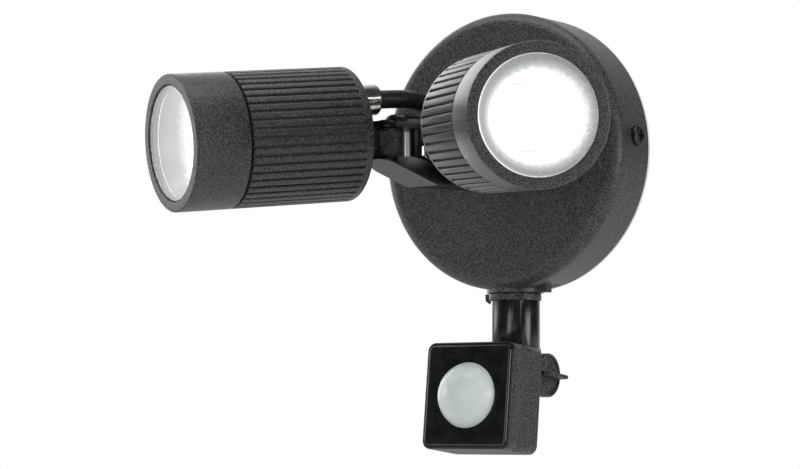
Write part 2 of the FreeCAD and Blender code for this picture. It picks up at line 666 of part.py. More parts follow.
def reflector(name):
    rim = OPENING_R + 0.6
    back = GLASS_BACK - REFLECTOR_DEPTH
    throat = OPTIC_R + LOOSE
    cone = lathe([
        (rim, GLASS_BACK), (rim + 1, GLASS_BACK), (rim + 1, GLASS_BACK - 1.5), (rim, GLASS_BACK - 1.5),
        (throat + REFLECTOR_T, back), (throat, back),
    ])
    return head_frame(name, cone)


def optic(name):
    """Round moulded lens of the LED lamp with a low dome."""
    disc = rod(OPTIC_R, V(0, -OPTIC_BACK, 0), FORWARD, OPTIC_T)
    sphere_r = (OPTIC_R ** 2 + OPTIC_RISE ** 2) / (2 * OPTIC_RISE)
    centre = V(0, -(OPTIC_BACK + OPTIC_T + OPTIC_RISE - sphere_r), 0)
    in_front = rod(OPTIC_R, V(0, -OPTIC_BACK - OPTIC_T, 0), FORWARD, 2 * OPTIC_RISE)
    dome = Part.makeSphere(sphere_r, centre).common(in_front)
    return head_frame(name, fused([disc, dome]))


def lamp_body(name):
    """Heat sink of the LED lamp, from the optic to its base pins."""
    cone = lathe([
        (0, OPTIC_BACK), (OPTIC_R + 2, OPTIC_BACK), (OPTIC_R + 2, OPTIC_BACK - 8),
        (LAMP_NECK_R, LAMP_BACK + 6), (LAMP_NECK_R, LAMP_BACK), (0, LAMP_BACK),
    ])
    pins = [rod(LAMP_PIN_R, V(side * LAMP_PIN_X, -LAMP_BACK, 0), Y_AXIS, LAMP_PIN_L) for side in SIDES]
    return head_frame(name, fused([cone] + pins))


def lamp_holder(name):
    """Ceramic lamp holder on a sheet-metal bridge across the body."""
    body = rod(HOLDER_R, V(0, -REAR_WALL, 0), FORWARD, HOLDER_L)
    bridge = rod(BORE_R - FIT, V(0, -REAR_WALL, 0), FORWARD, 2.0)
    under_gland = block(-BORE_R, BORE_R, -LAMP_BACK, 0, -HOLDER_R, HOLDER_R * 0.45)
    whole = fused([body, bridge]).common(under_gland)
    sockets = [
        rod(LAMP_PIN_R + FIT, V(side * LAMP_PIN_X, -LAMP_BACK - 1, 0), Y_AXIS, LAMP_PIN_L + 2)
        for side in SIDES
    ]
    return head_frame(name, cut_all(whole, sockets))


def gland(face, direction, nut_l):
    """Cable gland whose flange sits at face; direction points out of the housing."""
    hexa = hexagon(GLAND_HEX_R, face, direction, GLAND_HEX_L)
    hexa = hexa.common(rod(GLAND_HEX_R * 0.96, face, direction, GLAND_HEX_L))
    nut_at = face + direction * GLAND_HEX_L
    nut = rod(GLAND_NUT_R, nut_at, direction, nut_l)
    end = nut_at + direction * nut_l
    rim = [e for e in nut.Edges if e.BoundBox.Center.distanceToPoint(end) < 1e-3]
    nut = nut.makeFillet(1.6, rim)
    tail = rod(GLAND_TAIL_R, face, -direction, REAR_WALL + 2)
    bore = rod(LEAD_R + LOOSE, face - direction * 20, direction, 50)
    return fused([hexa, nut, tail]).cut(bore)


def head_gland(name):
    return head_frame(name, gland(V(0, 0, GLAND_RISE), Y_AXIS, HEAD_GLAND_NUT_L))


def base_glands():
    return [
        gland(V(side * LEAD_ENTRY_X, CANOPY_FRONT, LEAD_ENTRY_Z), FORWARD, GLAND_NUT_L)
        for side in SIDES
    ]


def tilt_bolt(name):
    head = rod(TILT_HEAD_R, V(EAR_OUTER, 0, 0), X_AXIS, TILT_HEAD_T)
    socket_at = EAR_OUTER + TILT_HEAD_T - TILT_SOCKET_DEPTH
    socket = hexagon(TILT_SOCKET_R, V(socket_at, 0, 0), X_AXIS, TILT_SOCKET_DEPTH + 0.1)
    shank = rod(TILT_BOLT_R, V(EAR_OUTER, 0, 0), -X_AXIS, 2 * EAR_OUTER + 3)
    return tilt_frame(name, head.fuse(shank).cut(socket))


def tilt_nut(name):
    nut = cap_nut(V(-EAR_OUTER, 0, 0), -X_AXIS, TILT_NUT_R, TILT_NUT_HEX_L, TILT_NUT_DOME_L)
    hole = rod(TILT_BOLT_R + RUNNING, V(-EAR_OUTER, 0, 0), -X_AXIS, 3.3)
    return tilt_frame(name, nut.cut(hole))


# ---- leads between the glands ----

HEAD_GLAND_OUT = GLAND_HEX_L + HEAD_GLAND_NUT_L
LEAD_IN_BASE = V(LEAD_ENTRY_X, CANOPY_FRONT - GLAND_HEX_L - GLAND_NUT_L, LEAD_ENTRY_Z)
LEFT_CREST = V(-21.8, -76.0, 23.2)
RIGHT_CREST = V(19.6, -74.0, 23.6)
LEAD_LEADOUT = 9.0


def tube_path(points):
    """Straight runs joined by tangent arcs, each as large as its two runs allow."""
    edges = []
    radii = []
    start = points[0]
    for before, corner, after in zip(points, points[1:], points[2:]):
        back = before - corner
        ahead = after - corner
        shorter = min(back.Length, ahead.Length)
        half_turn = (math.pi - back.getAngle(ahead)) / 2
        setback = 0.45 * shorter
        radius = setback / math.tan(half_turn)
        unit_back = V(back).normalize()
        unit_ahead = V(ahead).normalize()
        bisector = (unit_back + unit_ahead).normalize()
        nearest = corner + bisector * (radius / math.cos(half_turn) - radius)
        enter = corner + unit_back * setback
        leave = corner + unit_ahead * setback
        edges.append(Part.makeLine(start, enter))
        edges.append(Part.Arc(enter, nearest, leave).toShape())
        radii.append(radius)
        start = leave
    edges.append(Part.makeLine(start, points[-1]))
    return Part.Wire(edges), radii


def gland_mouth(name):
    """Outer end of a head's gland and the direction its lead leaves in."""
    end = head_frame(name, Part.Vertex(0, HEAD_GLAND_OUT, GLAND_RISE)).Point
    seat = head_frame(name, Part.Vertex(0, 0, GLAND_RISE)).Point
    return end, (end - seat).normalize()


def lead(name, side, crest):
    mouth, out = gland_mouth(name)
    base_mouth = V(side * LEAD_IN_BASE.x, LEAD_IN_BASE.y, LEAD_IN_BASE.z)
    points = [
        mouth - out * 4, mouth + out * LEAD_LEADOUT, crest,
        base_mouth + FORWARD * LEAD_LEADOUT, base_mouth - FORWARD * 4,
    ]
    wire, radii = tube_path(points)
    start_direction = (points[1] - points[0]).normalize()
    section = Part.Wire(Part.Circle(points[0], start_direction, LEAD_R).toShape())
    tube = wire.makePipeShell([section], True, False)
    ratio = tube.Volume / (math.pi * LEAD_R ** 2 * wire.Length)
    bends = [round(radius, 1) for radius in radii]
    print("%s lead length %.1f volume ratio %.4f radii %s" % (name, wire.Length, ratio, bends))
    return tube


# ---- sensor stem ----

STEM_AXIS = V(0, -STEM_Y, 0)
COLLAR_TOP = BOSS_BOTTOM - LOOSE
COLLAR_BOTTOM = COLLAR_TOP - COLLAR_T
NECK_TOP = BOSS_TOP + STEM_NUT_T + 1.5


def at_stem(z):
    return STEM_AXIS + V(0, 0, z)


def stop_collar():
    """Stop ring on the stem with a tab that meets the canopy's stop."""
    body = rod(COLLAR_R, at_stem(COLLAR_BOTTOM), Z_AXIS, COLLAR_T)
    half = COLLAR_TAB_W / 2
    tab = block(-COLLAR_TAB, 0, -STEM_Y - half, -STEM_Y + half, COLLAR_BOTTOM, COLLAR_TOP)
    slope = [
        V(-COLLAR_TAB, 0, COLLAR_BOTTOM), V(-STEM_R + 1, 0, COLLAR_BOTTOM),
        V(-STEM_R + 1, 0, COLLAR_BOTTOM - GUSSET_H),
    ]
    gusset = Part.Face(Part.makePolygon(slope + slope[:1])).extrude(V(0, COLLAR_TAB_W, 0))
    gusset = moved(gusset, V(0, -STEM_Y - half, 0))
    gusset = gusset.cut(rod(STEM_R, at_stem(COLLAR_BOTTOM - 2 * GUSSET_H), Z_AXIS, 2 * GUSSET_H))
    bore = rod(NECK_R + RUNNING, at_stem(COLLAR_BOTTOM - 1), Z_AXIS, COLLAR_T + 2)
    return fused([body, tab, gusset]).cut(bore)


def stem_nut():
    """Retaining ring that keeps the stem in the canopy's boss."""
    return ring(BOSS_R - 1.0, NECK_R + FIT, at_stem(BOSS_TOP + LOOSE), Z_AXIS, STEM_NUT_T)


def sensor_stem():
    neck = rod(NECK_R, at_stem(COLLAR_BOTTOM - 1), Z_AXIS, NECK_TOP - COLLAR_BOTTOM + 1)
    shank = rod(STEM_R, at_stem(STEM_STRAIGHT_END), Z_AXIS, COLLAR_BOTTOM - STEM_STRAIGHT_END)
    half = BARREL_W / 2
    barrel = rod(BARREL_R, V(-half, -STEM_Y, HINGE_Z), X_AXIS, BARREL_W)
    waist = block(-half, half, -STEM_Y - BARREL_R, -STEM_Y + BARREL_R, HINGE_Z, STEM_STRAIGHT_END + 1)
    solid = fused([neck, shank, waist, barrel])
    wire_way = rod(NECK_R - 3, at_stem(STEM_STRAIGHT_END + 4), Z_AXIS, 60)
    screw_way = rod(CLAMP_R + RUNNING, V(-half - 1, -STEM_Y, HINGE_Z), X_AXIS, BARREL_W + 2)
    return cut_all(solid, [wire_way, screw_way])


# ---- sensor head, built about the hinge and then tipped ----

CASE_BACK = -HINGE_TO_CASE
CASE_FRONT = CASE_BACK - CASE_D
SPLIT = CASE_FRONT + FRONT_D
EAR_IN = BARREL_W / 2 + LOOSE
EAR_OUT = EAR_IN + CASE_EAR_T
BOARD_FRONT = SPLIT + 4.0
TRIMMER_TOP = CASE_BACK - CASE_WALL - 5.0
DIAL_X = [-DIAL_PITCH, 0.0, DIAL_PITCH]
DIAL_Z = -CASE_DROP - DIAL_LOW


def sensor_frame(shape):
    """From the hinge's own frame to the light's frame."""
    tipped = spun(shape, V(0, 0, 0), X_AXIS, -SENSOR_PITCH)
    return moved(tipped, V(0, -STEM_Y, HINGE_Z))


def case_slab(shrink, y0, y1):
    corner = max(CASE_CORNER_R - shrink, 0.8)
    return rounded_slab(CASE_W - 2 * shrink, CASE_H - 2 * shrink, corner, y0, y1, -CASE_DROP)


def case_corners():
    reach_x = CASE_W / 2 - CASE_SCREW_INSET
    reach_z = CASE_H / 2 - CASE_SCREW_INSET
    return [(sx * reach_x, -CASE_DROP + sz * reach_z) for sx in SIDES for sz in SIDES]


def sensor_front():
    """Front half of the case: glossy panel with a stepped bezel and the lens opening."""
    shell = case_slab(0, CASE_FRONT + BEZEL_STEP, SPLIT - CASE_SEAL_T / 2)
    shell = shell.fuse(case_slab(BEZEL_INSET, CASE_FRONT, CASE_FRONT + BEZEL_STEP + 1))
    shell = shell.cut(case_slab(CASE_WALL, CASE_FRONT + CASE_WALL + BEZEL_STEP, SPLIT))
    post_l = FRONT_D - BEZEL_STEP - CASE_WALL
    posts = [
        ring(FRONT_POST_R, CASE_SCREW_R + FIT / 2, V(x, SPLIT - CASE_SEAL_T / 2, z), FORWARD, post_l)
        for x, z in case_corners()
    ]
    shell = fused([shell] + posts)
    opening = rod(DOME_R + FIT, V(0, CASE_FRONT + 8, -CASE_DROP), FORWARD, 12)
    return sensor_frame(shell.cut(opening))


def sensor_rear():
    """Rear half of the case with its two hinge ears and dial pockets."""
    tray = case_slab(0, SPLIT + CASE_SEAL_T / 2, CASE_BACK)
    tray = tray.cut(case_slab(CASE_WALL, SPLIT, CASE_BACK - CASE_WALL))
    for side in SIDES:
        x = EAR_IN if side > 0 else -EAR_OUT
        ear = extruded([
            (0, CASE_EAR_R), (CASE_BACK - 0.5, CASE_EAR_R),
            (CASE_BACK - 0.5, -CASE_EAR_R - 4), (0, -CASE_EAR_R),
        ], x, x + CASE_EAR_T)
        ear = ear.fuse(rod(CASE_EAR_R, V(x, 0, 0), X_AXIS, CASE_EAR_T))
        tray = tray.fuse(ear)
    post_l = CASE_D - FRONT_D - CASE_SEAL_T / 2
    posts = [
        ring(REAR_POST_R, CASE_SCREW_R + FIT, V(x, CASE_BACK, z), FORWARD, post_l)
        for x, z in case_corners()
    ]
    tray = fused([tray] + posts)
    cuts = [rod(CLAMP_R + RUNNING, V(-EAR_OUT - 1, 0, 0), X_AXIS, 2 * EAR_OUT + 2)]
    for x, z in case_corners():
        cuts.append(rod(CASE_SCREW_R + FIT, V(x, CASE_BACK + 1, z), FORWARD, CASE_D))
        cuts.append(rod(CASE_HEAD_R + FIT, V(x, CASE_BACK + 1, z), FORWARD, CASE_HEAD_T + HEAD_SUNK + 1.1))
    for x in DIAL_X:
        cuts.append(rod(DIAL_STEM_R + RUNNING, V(x, CASE_BACK + 1, DIAL_Z), FORWARD, CASE_WALL + 2))
    return sensor_frame(cut_all(tray, cuts).removeSplitter())


def case_seal():
    """Flat rubber frame pinched between the case halves."""
    frame = case_slab(0.4, SPLIT - CASE_SEAL_T / 2, SPLIT + CASE_SEAL_T / 2)
    return sensor_frame(frame.cut(case_slab(CASE_WALL, SPLIT - 2, SPLIT + 2)))


def dome_lens():
    """Domed lens with a flange behind the front panel."""
    face_back = CASE_FRONT + CASE_WALL + BEZEL_STEP
    sphere_r = (DOME_R ** 2 + DOME_HEIGHT ** 2) / (2 * DOME_HEIGHT)
    centre = V(0, CASE_FRONT - DOME_HEIGHT + sphere_r, -CASE_DROP)
    in_front = rod(DOME_R, V(0, CASE_FRONT, -CASE_DROP), FORWARD, 2 * DOME_HEIGHT)
    outer = Part.makeSphere(sphere_r, centre).common(in_front)
    barrel = rod(DOME_R, V(0, face_back, -CASE_DROP), FORWARD, face_back - CASE_FRONT)
    flange = rod(DOME_FLANGE_R, V(0, face_back + 1.2, -CASE_DROP), FORWARD, 1.2)
    hollow = Part.makeSphere(sphere_r - DOME_WALL, centre).common(in_front)
    bore_from = V(0, face_back + 2, -CASE_DROP)
    bore = rod(DOME_R - DOME_WALL - 0.6, bore_from, FORWARD, face_back + 2 - CASE_FRONT + 0.2)
    return sensor_frame(fused([outer, barrel, flange]).cut(hollow.fuse(bore)))


def circuit_board():
    half = BOARD_SIZE / 2
    rear_face = BOARD_FRONT + BOARD_T
    board = block(-half, half, BOARD_FRONT, rear_face, -CASE_DROP - half, -CASE_DROP + half)
    notches = [
        rod(REAR_POST_R + 0.6, V(x, BOARD_FRONT - 1, z), Y_AXIS, BOARD_T + 2)
        for x, z in case_corners()
    ]
    board = cut_all(board, notches)
    relay = block(-15, -3, rear_face, rear_face + 8, -CASE_DROP - 6, -CASE_DROP + 14)
    capacitor = rod(4.0, V(10, rear_face, -CASE_DROP + 8), Y_AXIS, 8)
    trimmers = [
        block(x - 3.5, x + 3.5, rear_face, TRIMMER_TOP, DIAL_Z - 3.5, DIAL_Z + 3.5)
        for x in DIAL_X
    ]
    return sensor_frame(fused([board, relay, capacitor] + trimmers))


def pyro_sensor():
    can = rod(PYRO_R, V(0, BOARD_FRONT, -CASE_DROP), FORWARD, PYRO_H)
    rim = rod(PYRO_R + 0.6, V(0, BOARD_FRONT, -CASE_DROP), FORWARD, 0.7)
    window = moved(block(-2, 2, -0.01, 0.4, -1.5, 1.5), V(0, BOARD_FRONT - PYRO_H, -CASE_DROP))
    return sensor_frame(fused([can, rim]).cut(window))


def sensor_dial(x):
    """Setting dial with a pointer slot; its stem reaches the trimmer on the board."""
    face = V(x, CASE_BACK + LOOSE + DIAL_T, DIAL_Z)
    cap = rod(DIAL_R, face, FORWARD, DIAL_T)
    stem = rod(DIAL_STEM_R, face, FORWARD, DIAL_T + LOOSE + CASE_WALL + 4.7)
    slot = block(x - 0.5, x + 0.5, face.y - 1.0, face.y + 0.1, DIAL_Z - 3, DIAL_Z + 3)
    return sensor_frame(cap.fuse(stem).cut(slot))


def case_screws():
    face_y = CASE_BACK - HEAD_SUNK
    shank_l = CASE_D - 8.0
    return [
        sensor_frame(pan_screw(V(x, face_y, z), FORWARD, CASE_HEAD_R, CASE_HEAD_T, CASE_SCREW_R, shank_l))
        for x, z in case_corners()
    ]


def thumb_knob():
    """Thumb knob with one straight wing, moulded on its clamp screw's head."""
    disc = rod(KNOB_R, V(EAR_OUT + LOOSE, 0, 0), X_AXIS, KNOB_T)
    rims = [e for e in disc.Edges if e.BoundBox.XLength < 1e-3]
    disc = disc.makeFillet(1.0, rims)
    start = EAR_OUT + LOOSE + KNOB_T / 2
    half = KNOB_R * 0.86
    wing = block(start, start + KNOB_T / 2 + WING_REACH, -half, half, -WING_T / 2, WING_T / 2)
    hole = rod(CLAMP_R, V(EAR_OUT, 0, 0), X_AXIS, KNOB_T * 0.7 + LOOSE)
    return sensor_frame(disc.fuse(wing).cut(hole))


def clamp_screw():
    end = -EAR_OUT - CLAMP_NUT_L - LOOSE
    return sensor_frame(rod(CLAMP_R, V(end, 0, 0), X_AXIS, EAR_OUT + LOOSE + KNOB_T * 0.7 - end))


def clamp_nut():
    nut = hexagon(CLAMP_NUT_R, V(-EAR_OUT, 0, 0), -X_AXIS, CLAMP_NUT_L)
    return sensor_frame(nut.cut(rod(CLAMP_R + RUNNING, V(-EAR_OUT, 0, 0), -X_AXIS, CLAMP_NUT_L + 1)))


# ---- nodes ----

def all_nodes():
    nodes = {
        "base_canopy": canopy(), "wall_gasket": wall_gasket(), "wall_plate": wall_plate(),
        "canopy_screws": canopy_screws(), "entry_grommet": entry_grommet(),
        "terminal_block": terminal_block(), "terminal_screws": terminal_screws(),
        "earth_screw": earth_screw(), "arm_bracket": arm_bracket(), "bracket_screws": bracket_screws(),
        "pan_pins": [pan_pin(side) for side in SIDES], "web_bolts": web_bolts(),
        "base_glands": base_glands(),
        "left_lead": lead("left", -1, LEFT_CREST), "right_lead": lead("right", 1, RIGHT_CREST),
        "stop_collar": stop_collar(), "stem_nut": stem_nut(), "sensor_stem": sensor_stem(),
        "sensor_front": sensor_front(), "sensor_rear": sensor_rear(), "case_seal": case_seal(),
        "dome_lens": dome_lens(), "circuit_board": circuit_board(), "pyro_sensor": pyro_sensor(),
        "case_screws": case_screws(), "thumb_knob": thumb_knob(), "clamp_screw": clamp_screw(),
        "clamp_nut": clamp_nut(),
    }
    for label, x in zip(("sens_dial", "time_dial", "lux_dial"), DIAL_X):
        nodes[label] = sensor_dial(x)
    makers = {
        "knuckle": knuckle, "head_body": head_body, "front_cap": front_cap, "glass_seal": glass_seal,
        "front_glass": front_glass, "reflector": reflector, "optic": optic, "lamp_body": lamp_body,
        "lamp_holder": lamp_holder, "head_gland": head_gland, "tilt_bolt": tilt_bolt, "tilt_nut": tilt_nut,
    }
    for name in HEADS:
        for piece, maker in makers.items():
            nodes[name + "_" + piece] = maker(name)
    return nodes


os.makedirs("parts", exist_ok=True)
for node, made in all_nodes().items():
    solids = made if isinstance(made, list) else [made]
    shape = Part.makeCompound(solids) if len(solids) > 1 else solids[0]
    if not shape.isValid():
        print("invalid:", node)
    expected = len(solids)
    if len(shape.Solids) != expected:
        print("solids:", node, len(shape.Solids), "expected", expected)
    shape.exportStep("parts/" + node + ".step")
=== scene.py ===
import math

import bmesh
import bpy
from mathutils import Matrix, Vector


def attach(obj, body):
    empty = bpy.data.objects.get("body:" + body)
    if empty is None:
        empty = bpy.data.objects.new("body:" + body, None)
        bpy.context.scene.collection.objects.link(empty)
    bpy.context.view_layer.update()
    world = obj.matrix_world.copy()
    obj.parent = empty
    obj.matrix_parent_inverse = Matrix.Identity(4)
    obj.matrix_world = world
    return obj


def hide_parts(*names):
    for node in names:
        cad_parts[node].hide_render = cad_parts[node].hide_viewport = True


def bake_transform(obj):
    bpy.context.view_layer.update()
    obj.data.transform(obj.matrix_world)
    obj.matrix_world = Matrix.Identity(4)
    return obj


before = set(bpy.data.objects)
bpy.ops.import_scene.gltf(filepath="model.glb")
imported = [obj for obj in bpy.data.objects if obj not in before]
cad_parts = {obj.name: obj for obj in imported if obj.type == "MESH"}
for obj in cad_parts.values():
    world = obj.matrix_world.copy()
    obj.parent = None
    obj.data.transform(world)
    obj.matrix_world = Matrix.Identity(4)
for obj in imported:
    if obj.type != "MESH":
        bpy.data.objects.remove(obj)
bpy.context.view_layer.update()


# ---- Camera ----
# A long lens a little below the lamps and to the right of them, as in the photograph.
# Rows are the picture's right, its up and the way back to the camera.

camera_data = bpy.data.cameras.new("camera")
camera_data.sensor_width = 36
camera_data.lens = 121.5
camera = bpy.data.objects.new("camera", camera_data)
bpy.context.scene.collection.objects.link(camera)
bpy.context.scene.camera = camera
looking = Matrix(((0.8216, 0.5700, 0.0), (0.0398, -0.0573, 0.9976), (0.5686, -0.8196, -0.0698)))
looking = looking.transposed().to_quaternion().to_matrix().to_4x4()
camera.matrix_world = Matrix.Translation((0.7294, -1.1690, -0.1366)) @ looking


# ---- Leads between canopy and heads ----
# Each head is fed by a short round cable, a PVC jacket over three cores, gripped by a gland at both
# ends. It arches over the pan and tilt joints, so it is drawn as two lengths that meet at its crest.

MM = 0.001


def linear(hexa):
    """sRGB hex to the linear colour that shaders take."""
    parts = [int(hexa[i:i + 2], 16) / 255 for i in (1, 3, 5)]
    return [p / 12.92 if p <= 0.04045 else ((p + 0.055) / 1.055) ** 2.4 for p in parts] + [1.0]


def add(tree, kind, inputs=None, **settings):
    """Adds one node with its settings, and its inputs as numbers, colours or links."""
    made = tree.nodes.new("ShaderNode" + kind)
    for name, value in settings.items():
        setattr(made, name, value)
    for name, value in (inputs or {}).items():
        if isinstance(value, bpy.types.NodeSocket):
            tree.links.new(value, made.inputs[name])
        else:
            made.inputs[name].default_value = value
    return made


def new_finish(name, **shader_inputs):
    """A material with one shader whose even values are set on its own sockets."""
    finish = bpy.data.materials.new(name)
    finish.use_nodes = True
    shader = finish.node_tree.nodes["Principled BSDF"]
    for socket, value in shader_inputs.items():
        shader.inputs[socket.replace("_", " ")].default_value = value
    return finish, finish.node_tree, shader


def grain(tree, shader, size_mm, height_mm, detail=2.0):
    """Fine surface grain of that size and height, as bump. Returns its 0 to 1 pattern."""
    place = add(tree, "TexCoord").outputs["Object"]
    noise = add(tree, "TexNoise", {"Vector": place, "Scale": 1 / (size_mm * MM), "Detail": detail})
    bump = add(tree, "Bump", {
        "Height": noise.outputs["Fac"], "Distance": height_mm * MM, "Strength": 1.0})
    tree.links.new(bump.outputs["Normal"], shader.inputs["Normal"])
    return noise.outputs["Fac"]


def shades(tree, shader, pattern, low, high, start=0.4, end=0.6):
    """Colour that runs from low to high as the pattern runs from start to end."""
    ramp = add(tree, "ValToRGB", {"Fac": pattern})
    for stop, place, colour in zip(ramp.color_ramp.elements, (start, end), (low, high)):
        stop.position = place
        stop.color = linear(colour)
    tree.links.new(ramp.outputs["Color"], shader.inputs["Base Color"])


def turns(around):
    """Equal steps of one full turn, in radians."""
    return [2 * math.pi * k / around for k in range(around)]


def skin(name, loops, finish, capped=True, ring=False):
    """Mesh through equal loops of points in millimetres, capped at its ends or closed on itself."""
    around = len(loops[0])
    mesh = bpy.data.meshes.new(name)
    faces = []
    last = len(loops) if ring else len(loops) - 1
    for i in range(last):
        a, b = i * around, (i + 1) % len(loops) * around
        faces += [(a + k, a + (k + 1) % around, b + (k + 1) % around, b + k)
                  for k in range(around)]
    if capped and not ring:
        faces.append(tuple(reversed(range(around))))
        faces.append(tuple(range((len(loops) - 1) * around, len(loops) * around)))
    points = [[c * MM for c in point] for loop in loops for point in loop]
    mesh.from_pydata(points, [], faces)
    mesh.validate()
    shape = bmesh.new()
    shape.from_mesh(mesh)
    bmesh.ops.recalc_face_normals(shape, faces=shape.faces)
    shape.to_mesh(mesh)
    shape.free()
    mesh.shade_smooth()
    mesh.set_sharp_from_angle(angle=math.radians(35))
    mesh.materials.append(finish)
    made = bpy.data.objects.new(name, mesh)
    bpy.context.scene.collection.objects.link(made)
    bpy.context.view_layer.objects.active = made
    return made


# Each head's side, and its pan and tilt in degrees as in the photograph.
HEADS = {"left": (-1, -28.6, -5.5), "right": (1, 47.1, -3.65)}
PIN_X, PIN_OUT = 26, 91             # pan pin, from the middle and from the wall
TILT_REACH, TILT_RISE = 14.5, 0.5   # tilt bolt, ahead of the pan pin and above the canopy's middle
BOLT_BEHIND, BOLT_BELOW = 8, 4      # tilt bolt, behind the head's rear face and below its axis


def head_place(name):
    """Where a head stands. In its own frame its rear face is Y = 0 and its lamp faces -Y."""
    side, yaw, pitch = HEADS[name]
    pin = Matrix.Translation((side * PIN_X * MM, -PIN_OUT * MM, 0))
    bolt = Matrix.Translation((0, -TILT_REACH * MM, TILT_RISE * MM))
    pan = pin @ Matrix.Rotation(math.radians(yaw), 4, "Z")
    tilt = bolt @ Matrix.Rotation(math.radians(-pitch), 4, "X")
    return pan @ tilt @ Matrix.Translation((0, -BOLT_BEHIND * MM, BOLT_BELOW * MM))


def smooth_route(points):
    """Points along the smooth line that the route's own points steer."""
    curve = bpy.data.curves.new("route", "CURVE")
    curve.dimensions = "3D"
    line = curve.splines.new("NURBS")
    line.points.add(len(points) - 1)
    for spot, point in zip(line.points, points):
        spot.co = (*point, 1)
    line.order_u = 3
    line.use_endpoint_u = True
    line.resolution_u = 16
    route = bpy.data.objects.new("route", curve)
    bpy.context.scene.collection.objects.link(route)
    bpy.context.view_layer.update()
    solved = route.evaluated_get(bpy.context.evaluated_depsgraph_get())
    read = bpy.data.meshes.new_from_object(solved)
    found = [vertex.co.copy() for vertex in read.vertices]
    bpy.data.meshes.remove(read)
    bpy.data.objects.remove(route)
    bpy.data.curves.remove(curve)
    return found


def tube_loops(line, radius, around=40):
    """Round sections in millimetres along a line of points, carried without twist."""
    loops = []
    across = None
    for i, point in enumerate(line):
        ahead = (line[min(i + 1, len(line) - 1)] - line[max(i - 1, 0)]).normalized()
        start = across or Vector((0, 0, 1))
        across = (start - ahead * start.dot(ahead)).normalized()
        other = ahead.cross(across)
        loops.append([(point / MM) + (across * math.cos(t) + other * math.sin(t)) * radius
                      for t in turns(around)])
    return loops


# Extruded PVC: smooth black with a faint pull along its length and a soft sheen.
jacket, tree, shader = new_finish("cable jacket, extruded black PVC", Roughness=0.38, IOR=1.5)
shader.inputs["Specular IOR Level"].default_value = 0.4
pull = grain(tree, shader, 2.2, 0.05)
shades(tree, shader, pull, "#151615", "#222423")

LEAD_R = 4.5
GRIPPED, STRAIGHT = 4, 9            # length inside a gland, and straight out of it
GLAND_RISE, GLAND_OUT = 16, 18.5    # head's gland, above the lamp's axis and out of the rear face
BASE_GLAND_X, BASE_GLAND_Y, BASE_GLAND_Z = 24, -44.5, 21
LEAD_CRESTS = {"left": (-21.8, -76.0, 23.2), "right": (19.6, -74.0, 23.6)}

for name, crest in LEAD_CRESTS.items():
    side = HEADS[name][0]
    seat = head_place(name) @ Vector((0, 0, GLAND_RISE * MM))
    mouth = head_place(name) @ Vector((0, GLAND_OUT * MM, GLAND_RISE * MM))
    out = (mouth - seat).normalized()
    base_mouth = Vector((side * BASE_GLAND_X, BASE_GLAND_Y, BASE_GLAND_Z)) * MM
    forward = Vector((0, -1, 0))
    route = [mouth - out * GRIPPED * MM, mouth + out * STRAIGHT * MM, Vector(crest) * MM,
             base_mouth + forward * STRAIGHT * MM, base_mouth - forward * GRIPPED * MM]
    line = smooth_route(route)
    middle = min(range(len(line)), key=lambda i: (line[i] - Vector(crest) * MM).length)
    loops = tube_loops(line, LEAD_R)
    front = skin(f"{name}_lead_front", loops[:middle + 1], jacket, capped=False)
    rear = skin(f"{name}_lead_rear", loops[middle:], jacket, capped=False)
    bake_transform(front)
    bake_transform(rear)
    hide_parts(f"{name}_lead")


# ---- Wall canopy ----
# Die-cast aluminium dish with a rounded front edge, sprayed with black polyester powder of fine
# sand texture. The same coat is on both heads and on the knuckles that carry them.

# Sand-textured powder coat: dull black with a fine sparkle where its grains catch the light.
powder, tree, shader = new_finish("polyester powder coat, black sand texture",
                                  Roughness=0.42, IOR=1.5)
# The real grain is about 0.3 mm; it is drawn at 0.7 mm so that it shows at this size.
sand = grain(tree, shader, 0.7, 0.13, detail=3.0)
shades(tree, shader, sand, "#0a0c0b", "#515452", 0.4, 0.64)


def dress(finish, *nodes):
    """Gives CAD nodes their finish."""
    for node in nodes:
        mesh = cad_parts[node].data
        mesh.materials.clear()
        mesh.materials.append(finish)


def round_edges(piece, width_mm):
    """Rounds the edges that turn by more than 40 degrees."""
    edge = piece.modifiers.new("round edges", "BEVEL")
    edge.width = width_mm * MM
    edge.segments = 2
    edge.limit_method = "ANGLE"
    edge.angle_limit = math.radians(40)
    edge.harden_normals = True


def ease(width_mm, *nodes):
    """Breaks the sharp edges of CAD nodes, as casting, moulding or tumbling leaves them."""
    for node in nodes:
        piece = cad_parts[node]
        weld = piece.modifiers.new("join", "WELD")
        weld.merge_threshold = 0.002 * MM
        round_edges(piece, width_mm)


dress(powder, "base_canopy")


# ---- Wall gasket ----
# Ring of pale closed-cell foam pressed between the canopy's rim and the wall.
# It shows as a thin light line behind the canopy.

# Closed-cell foam: chalky pale grey, pitted with cells of 0.8 mm, without shine.
foam, tree, shader = new_finish("closed-cell polyethylene foam, pale grey", Roughness=0.9, IOR=1.4)
cells = add(tree, "TexVoronoi", {
    "Vector": add(tree, "TexCoord").outputs["Object"], "Scale": 1 / (0.8 * MM)})
dent = add(tree, "Bump", {
    "Height": cells.outputs["Distance"], "Distance": 0.12 * MM, "Strength": 0.8})
tree.links.new(dent.outputs["Normal"], shader.inputs["Normal"])
shades(tree, shader, cells.outputs["Distance"], "#c9cbc9", "#e4e5e3", 0.1, 0.7)
dress(foam, "wall_gasket")


# ---- Wall plate and side screws ----
# Glass-filled nylon plate that is screwed to the wall.
# Two blackened pan-head screws hold the canopy on it.

# Moulded nylon: flat black, slightly mottled where the glass fibres flowed.
nylon, tree, shader = new_finish("glass-filled nylon, moulded black", Roughness=0.5, IOR=1.53)
shader.inputs["Specular IOR Level"].default_value = 0.4
flow = grain(tree, shader, 1.1, 0.03)
shades(tree, shader, flow, "#1b1d1c", "#2a2c2b")
dress(nylon, "wall_plate")
ease(0.3, "wall_plate")

